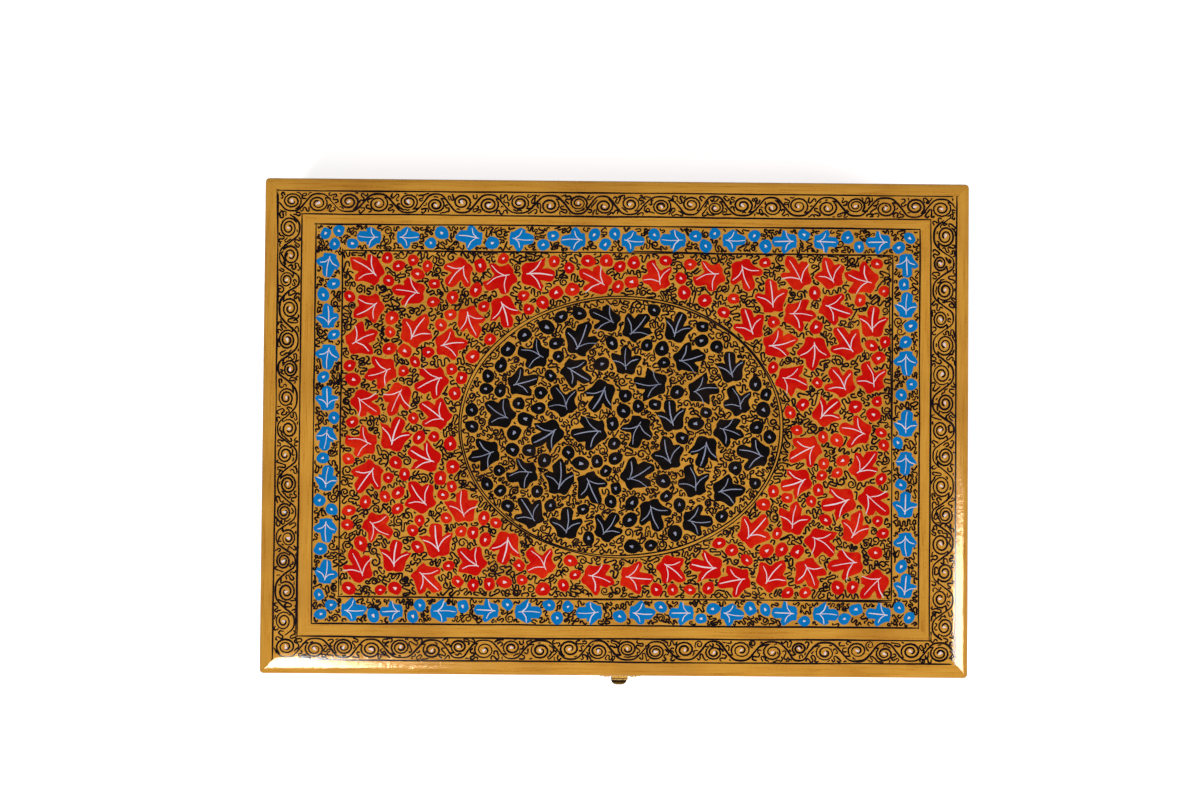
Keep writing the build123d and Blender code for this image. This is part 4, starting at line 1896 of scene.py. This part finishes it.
    def paint(self) -> None:
        """Lays out the whole top and hangs its pieces."""
        rng, canvas, painter = np.random.default_rng(self.seed), self.canvas, self.painter
        self._scrolls(rng)
        border, lines = self._border(rng)
        oval = self.in_medallion(self.medallion_gap + 0.3)
        red = self._carpet(rng, self.field_planting, self.leaf_inner.holds(canvas, 0.4), oval)
        red.plant()
        black = self._carpet(rng, self.medallion_planting, self.in_medallion(-0.3))
        black.plant()
        painter.leaves("lid_blue", Pot.BLUE, Pot.WHITE, [(canvas, border)])
        painter.leaves("lid_red", Pot.RED, Pot.WHITE, [(canvas, red)])
        painter.leaves("lid_black", Pot.BLACK, Pot.GREY, [(canvas, black)])
        lines += [self.oval(0.0, rng), self.oval(self.medallion_gap, rng)]
        painter.ink("lid_border_ink", [(canvas, lines + border.ink)])
        painter.ink("lid_field_ink", [(canvas, red.ink)])
        painter.ink("lid_medallion_ink", [(canvas, black.ink)])

    def _carpet(
        self, rng: np.random.Generator, planting: Planting, inside: Test, outside: Test | None = None
    ) -> Carpet:
        """A bare carpet on the ground that is inside one line and, if there is a second, outside it."""
        both = (lambda points: inside(points) & ~outside(points)) if outside else inside
        return Carpet(self.painter.book, Ground(self.canvas, both), rng, planting)

    def _scrolls(self, rng: np.random.Generator) -> None:
        """Draws the scroll band round the edge.

        Args:
            rng: the hand.
        """
        canvas, outer, inner = self.canvas, self.scroll_outer, self.scroll_inner
        carpet = self._carpet(rng, ScrollBand.CORNERS, outer.holds(canvas, 0.5), inner.holds(canvas, -0.5))
        band = ScrollBand(carpet)
        left, right, front, back = (outer.sides(canvas) + inner.sides(canvas)) / 2
        widths = np.abs(outer.sides(canvas) - inner.sides(canvas))
        first_u, last_u = outer.sides(canvas)[:2] + (band.END, -band.END)
        first_v, last_v = inner.sides(canvas)[2:] + (band.SHORT_END, -band.SHORT_END)
        band.run(Ruler((first_u, back), (last_u, back)), widths[3])
        band.run(Ruler((last_u, front), (first_u, front)), widths[2])
        band.run(Ruler((left, first_v), (left, last_v)), widths[0])
        band.run(Ruler((right, last_v), (right, first_v)), widths[1])
        carpet.fill(ScrollBand.FRINGE)
        lines = outer.ruled(canvas, rng) + inner.ruled(canvas, rng)
        self.painter.ink("lid_scroll_ink", [(canvas, lines + carpet.ink)])
        self.painter.touches("lid_scroll_touches", [(canvas, band)])

    def _border(self, rng: np.random.Generator) -> tuple[Carpet, list[Stroke]]:
        """Plants the border, with its leaves in single file.

        Args:
            rng: the hand.

        Returns:
            The border, and the lines round it.
        """
        canvas, outer, inner = self.canvas, self.leaf_outer, self.leaf_inner
        border = self._carpet(rng, self.border_planting, outer.holds(canvas, 0.1), inner.holds(canvas, -0.2))
        for row in Ruler.round_trip(*(outer.sides(canvas) + inner.sides(canvas)) / 2):
            border.line_up(row)
        border.scatter_buds()
        lines = outer.ruled(canvas, rng) + inner.ruled(canvas, rng)
        for line in lines:
            border.ground.take(evenly(line.points, 0.3), 0.5)
        border.fill(CARPET_FILL)
        return border, lines


def side_canvas(body: Body, board: str, side: Side, top: float | None = None) -> Canvas:
    """One outer side of the case or the lid.

    Args:
        body: what carries it.
        board: what the names of its boards end in.
        side: which way it faces.
        top: the height that it ends at, where that isn't the boards' own top.

    Returns:
        The canvas.
    """
    boxes = np.array([box_of(f"{body.value}_{place}_{board}") for place in PLACES])
    low, high = boxes[:, 0].min(axis=0), boxes[:, 1].max(axis=0)
    if top is not None:
        high[2] = top
    outward = np.cross(side.value, (0, 0, 1))
    middle = (low + high) / 2 + outward * np.abs((high - low) / 2 @ np.abs(outward))
    half = np.array([np.abs(side.value) @ (high - low), high[2] - low[2]]) / 2 / MM
    return Canvas(body, middle, side.value, (0, 0, 1), half)


@dataclass
class LidSides:
    """The painted rails of the lid: a scroll band on each side."""

    painter: Painter
    seed: int = 21
    frame: Frame = Frame(3.2, 3.2, 3.4, 5.3)
    under_top: float = 1.15 * MM  # how far below the lid's top the sides end

    def paint(self) -> None:
        """Draws the bands and hangs their ink and white touches."""
        rng = np.random.default_rng(self.seed)
        top = box_of("lid_board")[1][2] - self.under_top
        inks, bands = [], []
        for side in Side:
            canvas = side_canvas(Body.LID, "rail", side, top)
            ground = Ground(canvas, self.frame.holds(canvas, 0.5))
            band = ScrollBand(Carpet(self.painter.book, ground, rng, ScrollBand.CORNERS))
            low_u, high_u, low_v, high_v = self.frame.sides(canvas)
            middle = (low_v + high_v) / 2
            band.run(Ruler((low_u + band.END, middle), (high_u - band.END, middle)), high_v - low_v)
            band.carpet.fill(band.FRINGE)
            inks.append((canvas, self.frame.ruled(canvas, rng) + band.carpet.ink))
            bands.append((canvas, band))
        self.painter.ink("rail_scroll_ink", inks)
        self.painter.touches("rail_scroll_touches", bands)


@dataclass
class CaseSides:
    """The painted walls of the case: red leaves in a double ruled frame."""

    painter: Painter
    seed: int = 34
    frame: Frame = Frame(4.0, 4.0, 4.0, 4.2)
    second: Frame = Frame(5.6, 5.6, 5.6, 5.8)
    planting: Planting = Planting(
        leaf_sizes=(1.0, 1.12), leaf_tries=8000, bud_sizes=(0.88, 1.16), bud_tries=6000
    )
    buds_a_millimetre: float = 0.72  # of half the wall's length

    def paint(self) -> None:
        """Draws all four walls and hangs their leaves, veins and ink."""
        rng = np.random.default_rng(self.seed)
        parts = []
        for side in Side:
            canvas = side_canvas(Body.CASE, "wall", side)
            ground = Ground(canvas, self.second.holds(canvas, 0.45))
            planting = replace(self.planting, buds=int(canvas.half[0] * self.buds_a_millimetre))
            carpet = Carpet(self.painter.book, ground, rng, planting)
            carpet.plant()
            carpet.ink += self.frame.ruled(canvas, rng) + self.second.ruled(canvas, rng, 0.46)
            parts.append((canvas, carpet))
        self.painter.leaves("wall_red", Pot.RED, Pot.WHITE, parts)
        inks = [(canvas, carpet.ink) for canvas, carpet in parts]
        for name, some in (("front", inks[:1]), ("back", inks[1:2]), ("short", inks[2:])):
            self.painter.ink(f"{name}_wall_ink", some)


# ---------------- velvet
@dataclass
class Lining:
    """Velvet over card on the walls, and velvet over wadding on the floor and under the lid."""

    workshop: Workshop
    velvet: bpy.types.Material
    voxel: float = 2.6 * MM
    pressure: float = 3.5
    frames: int = 16
    swell: float = 0.9 * MM  # the most that a point may move
    shrink: float = 0.15 * MM
    cell: float = 4 * MM  # of the cushions' grids
    soft: float = 2.2 * MM  # how far in from its edge a cushion rounds off

    def fit(self) -> None:
        """Makes both pads and the four wall panels."""
        self.pad("case_floor_pad", "floor_pad", Body.CASE, 1)
        self.pad("lid_inner_pad", "lid_pad", Body.LID, -1)
        for place in PLACES:
            self.panel(f"wall_panel_{place}", f"lining_{place}")

    def pad(self, name: str, node: str, body: Body, way: int) -> None:
        """A cushion in the space of its CAD solid, plump on its open side.

        Args:
            name: the piece's name.
            node: the solid that it stands for.
            body: what it rides on.
            way: 1 if its open side faces up, -1 if it faces down.
        """
        low, high = box_of(node)
        mesh = self._cushion(low + self.shrink, high - self.shrink, 2, way, 0.5)
        mesh = self._inflated(mesh, low, high)
        piece = self.workshop.hang(name, smooth(mesh, self.velvet), body, "velvet", [node])

    def panel(self, name: str, node: str) -> None:
        """A velvet-covered card against a wall, with soft edges.

        Args:
            name: the piece's name.
            node: the solid that it stands for.
        """
        low, high = box_of(node)
        thin = int(np.argmin(high - low))
        mesh = self._cushion(low, high, thin, -1 if (low + high)[thin] > 0 else 1, 0.45)
        piece = self.workshop.hang(name, smooth(mesh, self.velvet), Body.CASE, "velvet", [node])

    def _cushion(self, low: Points, high: Points, thin: int, way: int, edge_share: float) -> bpy.types.Mesh:
        """A closed slab whose open face is crowned and whose edges are rounded.

        Args:
            low: its box's low corner.
            high: its box's high corner.
            thin: the axis that it is thin along.
            way: which way the open face looks along that axis.
            edge_share: how thick it is at its edge, as a share of the whole.

        Returns:
            The mesh, in metres.
        """
        flat = [axis for axis in range(3) if axis != thin]
        spans, thick = (high - low)[flat], (high - low)[thin]
        phases = np.random.default_rng(int(spans[0] / MM)).uniform(0, TAU, 2)
        shares = []
        for span in spans:
            even = np.linspace(0, 1, max(6, int(span / self.cell)) + 1)
            shares.append(0.35 * (0.5 - 0.5 * np.cos(even * math.pi)) + 0.65 * even)

        def corner(a: float, b: float, crowned: bool) -> Points:
            """One point.

            Args:
                a: how far along the first span it is, as a share.
                b: and along the second.
                crowned: true on the open face, false on the back.

            Returns:
                Its place.
            """
            inset = min(a * spans[0], (1 - a) * spans[0], b * spans[1], (1 - b) * spans[1])
            rise = 1 - (1 - edge_share) * math.exp(-inset / self.soft)
            ripple = 0.03 * math.sin(a * 23 + phases[0]) * math.sin(b * 17 + phases[1])
            depth = (rise - max(0.0, ripple)) * thick if crowned else 0.0
            point = np.empty(3)
            point[flat] = low[flat] + (a, b) * spans
            point[thin] = low[thin] + depth if way > 0 else high[thin] - depth
            return point

        work = bmesh.new()
        grids = [
            [[work.verts.new(corner(a, b, crowned)) for b in shares[1]] for a in shares[0]]
            for crowned in (False, True)
        ]
        for rows in grids:
            for i, j in product(range(len(rows) - 1), range(len(rows[0]) - 1)):
                work.faces.new((rows[i][j], rows[i + 1][j], rows[i + 1][j + 1], rows[i][j + 1]))
        wall(work, *map(rim_of, grids))
        bmesh.ops.recalc_face_normals(work, faces=work.faces)
        return mesh_of(work, "cushion")

    def _inflated(self, mesh: bpy.types.Mesh, low: Points, high: Points) -> bpy.types.Mesh:
        """Remeshes a slab and fills it by a short cloth simulation.

        Args:
            mesh: the slab.
            low: the low corner of the box that it stays in.
            high: the box's high corner.

        Returns:
            The filled mesh.
        """
        scene = bpy.context.scene
        holder = stand("filling", mesh)
        remesh = holder.modifiers.new("remesh", "REMESH")
        remesh.mode, remesh.voxel_size = "VOXEL", self.voxel
        fine = worked_out(holder)
        holder.modifiers.remove(remesh)
        holder.data = fine
        start = np.array([v.co[:] for v in fine.vertices])
        settings = holder.modifiers.new("filling", "CLOTH").settings
        settings.quality = 4
        settings.use_pressure, settings.uniform_pressure_force = True, self.pressure
        settings.effector_weights.gravity = 0.0
        settings.tension_stiffness = settings.compression_stiffness = 12.0
        for frame in range(1, self.frames + 1):
            scene.frame_set(frame)
        settled = worked_out(holder)
        move = np.array([v.co[:] for v in settled.vertices]) - start
        move *= np.minimum(1.0, self.swell / np.maximum(np.linalg.norm(move, axis=1, keepdims=True), 1e-9))
        placed = np.clip(start + move, low, high)
        settled.vertices.foreach_set("co", placed.astype("f").ravel())
        scene.frame_set(1)
        bpy.data.objects.remove(holder)
        return settled


# ---------------- studio
@dataclass
class Studio:
    """The camera, a plain pale floor and soft lamps."""

    lens: float = 70.0
    target: Triple = (-0.0058, 0.0099, 0.0743)
    azimuth: float = -17.5
    elevation: float = 88.18
    roll: float = 17.98
    distance: float = 0.8398
    floor_white: Colour = (0.86, 0.86, 0.86)
    floor_reach: float = 12.0
    floor_lift: float = 0.8
    mirrored_lift: float = 0.1  # the same, where the floor is seen in varnish or brass
    world_level: float = 0.14

    def camera(self) -> None:
        """Stands the camera almost straight over the lid."""
        az, el, roll = (math.radians(a) for a in (self.azimuth, self.elevation, self.roll))
        back = Vector((math.sin(az) * math.cos(el), -math.cos(az) * math.cos(el), math.sin(el)))
        right = Vector((math.cos(az), math.sin(az), 0.0))
        up = right.cross(-back)
        side = right * math.cos(roll) + up * math.sin(roll)
        top = up * math.cos(roll) - right * math.sin(roll)
        place = Vector(self.target) + back * self.distance
        data = bpy.data.cameras.new("camera")
        data.lens = self.lens
        holder = stand("camera", data)
        holder.matrix_world = Matrix([*zip(side, top, back, place), (0.0, 0.0, 0.0, 1.0)])
        bpy.context.scene.camera = holder

    def floor(self) -> None:
        """A wide floor that looks white and still takes the box's shadow."""
        s = ShaderSheet("studio_floor")
        seen, glossy, clear = s.rays()
        level = seen * self.floor_lift + (glossy + clear) * self.mirrored_lift
        white = s.finish(
            {
                "Base Color": (*self.floor_white, 1.0),
                "Roughness": 0.9,
                "Specular IOR Level": 0.0,
                "Emission Color": s.blend(level, BLACK, WHITE),
                "Emission Strength": 1.0,
            }
        )
        mesh = bpy.data.meshes.new("studio_floor")
        far = self.floor_reach
        mesh.from_pydata([(-far, -far, 0), (far, -far, 0), (far, far, 0), (-far, far, 0)], [], [(0, 1, 2, 3)])
        mesh.materials.append(white)
        stand("studio_floor", mesh)

    def world(self) -> None:
        """A white surround, mirrored as a grey that darkens overhead."""
        world = bpy.data.worlds.new("studio")
        world.use_nodes = True
        s = NodeSheet(world.node_tree)
        place = s.node("ShaderNodeTexCoord").outputs["Generated"]
        height = Signal(s, s.node("ShaderNodeSeparateXYZ", {0: place}).outputs[2])
        seen, glossy, clear = s.rays()
        greys = [(0.12, (0.42,) * 3), (0.62, (0.06,) * 3)]
        dome = s.value("ShaderNodeValToRGB", {0: height.size()}, stops=greys)
        pale = s.blend((seen + glossy + clear).least(1.0), (self.world_level,) * 3, dome)
        sky = s.value("ShaderNodeBackground", {"Color": s.blend(seen, pale, WHITE), "Strength": 1.0})
        s.node("ShaderNodeOutputWorld", {"Surface": sky})
        bpy.context.scene.world = world

    def lamp(self, name: str, at: Triple, size: Span, watts: float) -> None:
        """One softbox that faces the box.

        Args:
            name: its name.
            at: where it stands.
            size: its width and height.
            watts: its power.
        """
        data = bpy.data.lights.new(name, "AREA")
        data.shape = "RECTANGLE"
        data.size, data.size_y = size
        data.energy = watts
        holder = stand(name, data)
        holder.location = at
        holder.visible_camera = False
        towards = np.array((0, 0, 0.05)) - np.array(at)
        towards = towards / np.linalg.norm(towards)
        holder.rotation_euler = (math.asin(towards[1]), math.atan2(-towards[0], -towards[2]), 0.0)

    def set_up(self) -> None:
        """Everything, with the Standard view transform."""
        bpy.context.scene.view_settings.view_transform = "Standard"
        self.camera()
        self.floor()
        self.world()
        self.lamp("left_softbox", (-0.32, -0.52, 1.15), (0.24, 0.40), 9.4)
        self.lamp("right_softbox", (0.70, -0.17, 1.1), (0.42, 0.20), 5.4)


# ---------------- kept solids
def dress(node: bpy.types.Object, material: bpy.types.Material) -> None:
    """Puts one finish on every slot of a piece.

    Args:
        node: the piece.
        material: the finish.
    """
    if not node.material_slots:
        node.data.materials.append(material)
    for slot in node.material_slots:
        slot.material = material


@dataclass
class Solids:
    """The pieces that keep their CAD solids and only get a finish."""

    nodes: dict[str, bpy.types.Object]
    wall: float = 7.0 * MM
    lip_below: float = 4.4 * MM  # where the hasp's lip starts, over the tongue's foot; painted shade darkens the hollow below it
    lip_behind: float = 0.7 * MM  # and where its rim starts, behind the tongue's front

    def boards(self) -> bpy.types.Material:
        """Gives each pulp board gold lacquer with the grain that its gilder's brush left.

        Returns:
            The lid top's lacquer, brushed round its edge.
        """
        low, high = box_of("lid_board")
        half_x, half_y, _ = map(float, (high - low) / 2)
        underside = float(low[2]) + 0.1 * MM
        gold = {
            grain: GoldLacquer(
                f"gold_lacquer_{grain.value}", grain, half_x, half_y, self.wall, underside=underside
            ).material()
            for grain in Grain
        }
        for name, node in self.nodes.items():
            if name.endswith(("left_wall", "right_wall", "left_rail", "right_rail")):
                dress(node, gold[Grain.ALONG_Y])
            elif name.endswith(("_wall", "_rail", "case_floor")):
                dress(node, gold[Grain.ALONG_X])
        return gold[Grain.ROUND_THE_EDGE]

    def metal(self) -> None:
        """Brass for the hinges and the hasp, wire for the brads. The hasp's tongue has painted shade in the
        hollow of its lip.
        """
        brass, wire = SheetBrass().material(), DrawnWire().material()
        _, y, z = box_of("clasp_tongue")[0]
        # the tongue's brass, with painted shade in its lip's hollow
        tongue = SheetBrass("tongue_brass", lip=(z + self.lip_below, y + self.lip_behind)).material()
        for name, node in self.nodes.items():
            if name.startswith(("hinge", "clasp")):
                dress(node, tongue if name == "clasp_tongue" else brass)
            elif name.endswith("corner_pins"):
                dress(node, wire)


def main() -> None:
    """Builds the dressed box."""
    logging.basicConfig(level=logging.INFO, format="%(message)s", force=True)
    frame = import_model()
    Studio().set_up()
    solids = Solids(frame["nodes"])
    top_lacquer = solids.boards()
    solids.metal()
    workshop = Workshop()
    painter = Painter(workshop)
    lid_top = LidTop(painter)
    lid_top.board(top_lacquer)
    lid_top.paint()
    LidSides(painter).paint()
    CaseSides(painter).paint()
    # the second colour of each cloth is the lighter tone of its painted sheen
    velvet = Pile("maroon_velvet", srgb(80, 5, 14), srgb(114, 12, 24), 0.9).material()
    flock = Pile("black_flock", srgb(14, 13, 13), srgb(34, 31, 30), 0.25).material()
    dress(frame["nodes"]["base_flock"], flock)
    Lining(workshop, velvet).fit()
    LOG.info("%d pieces made", len(workshop.pieces))


if __name__ == "__main__":
    main()
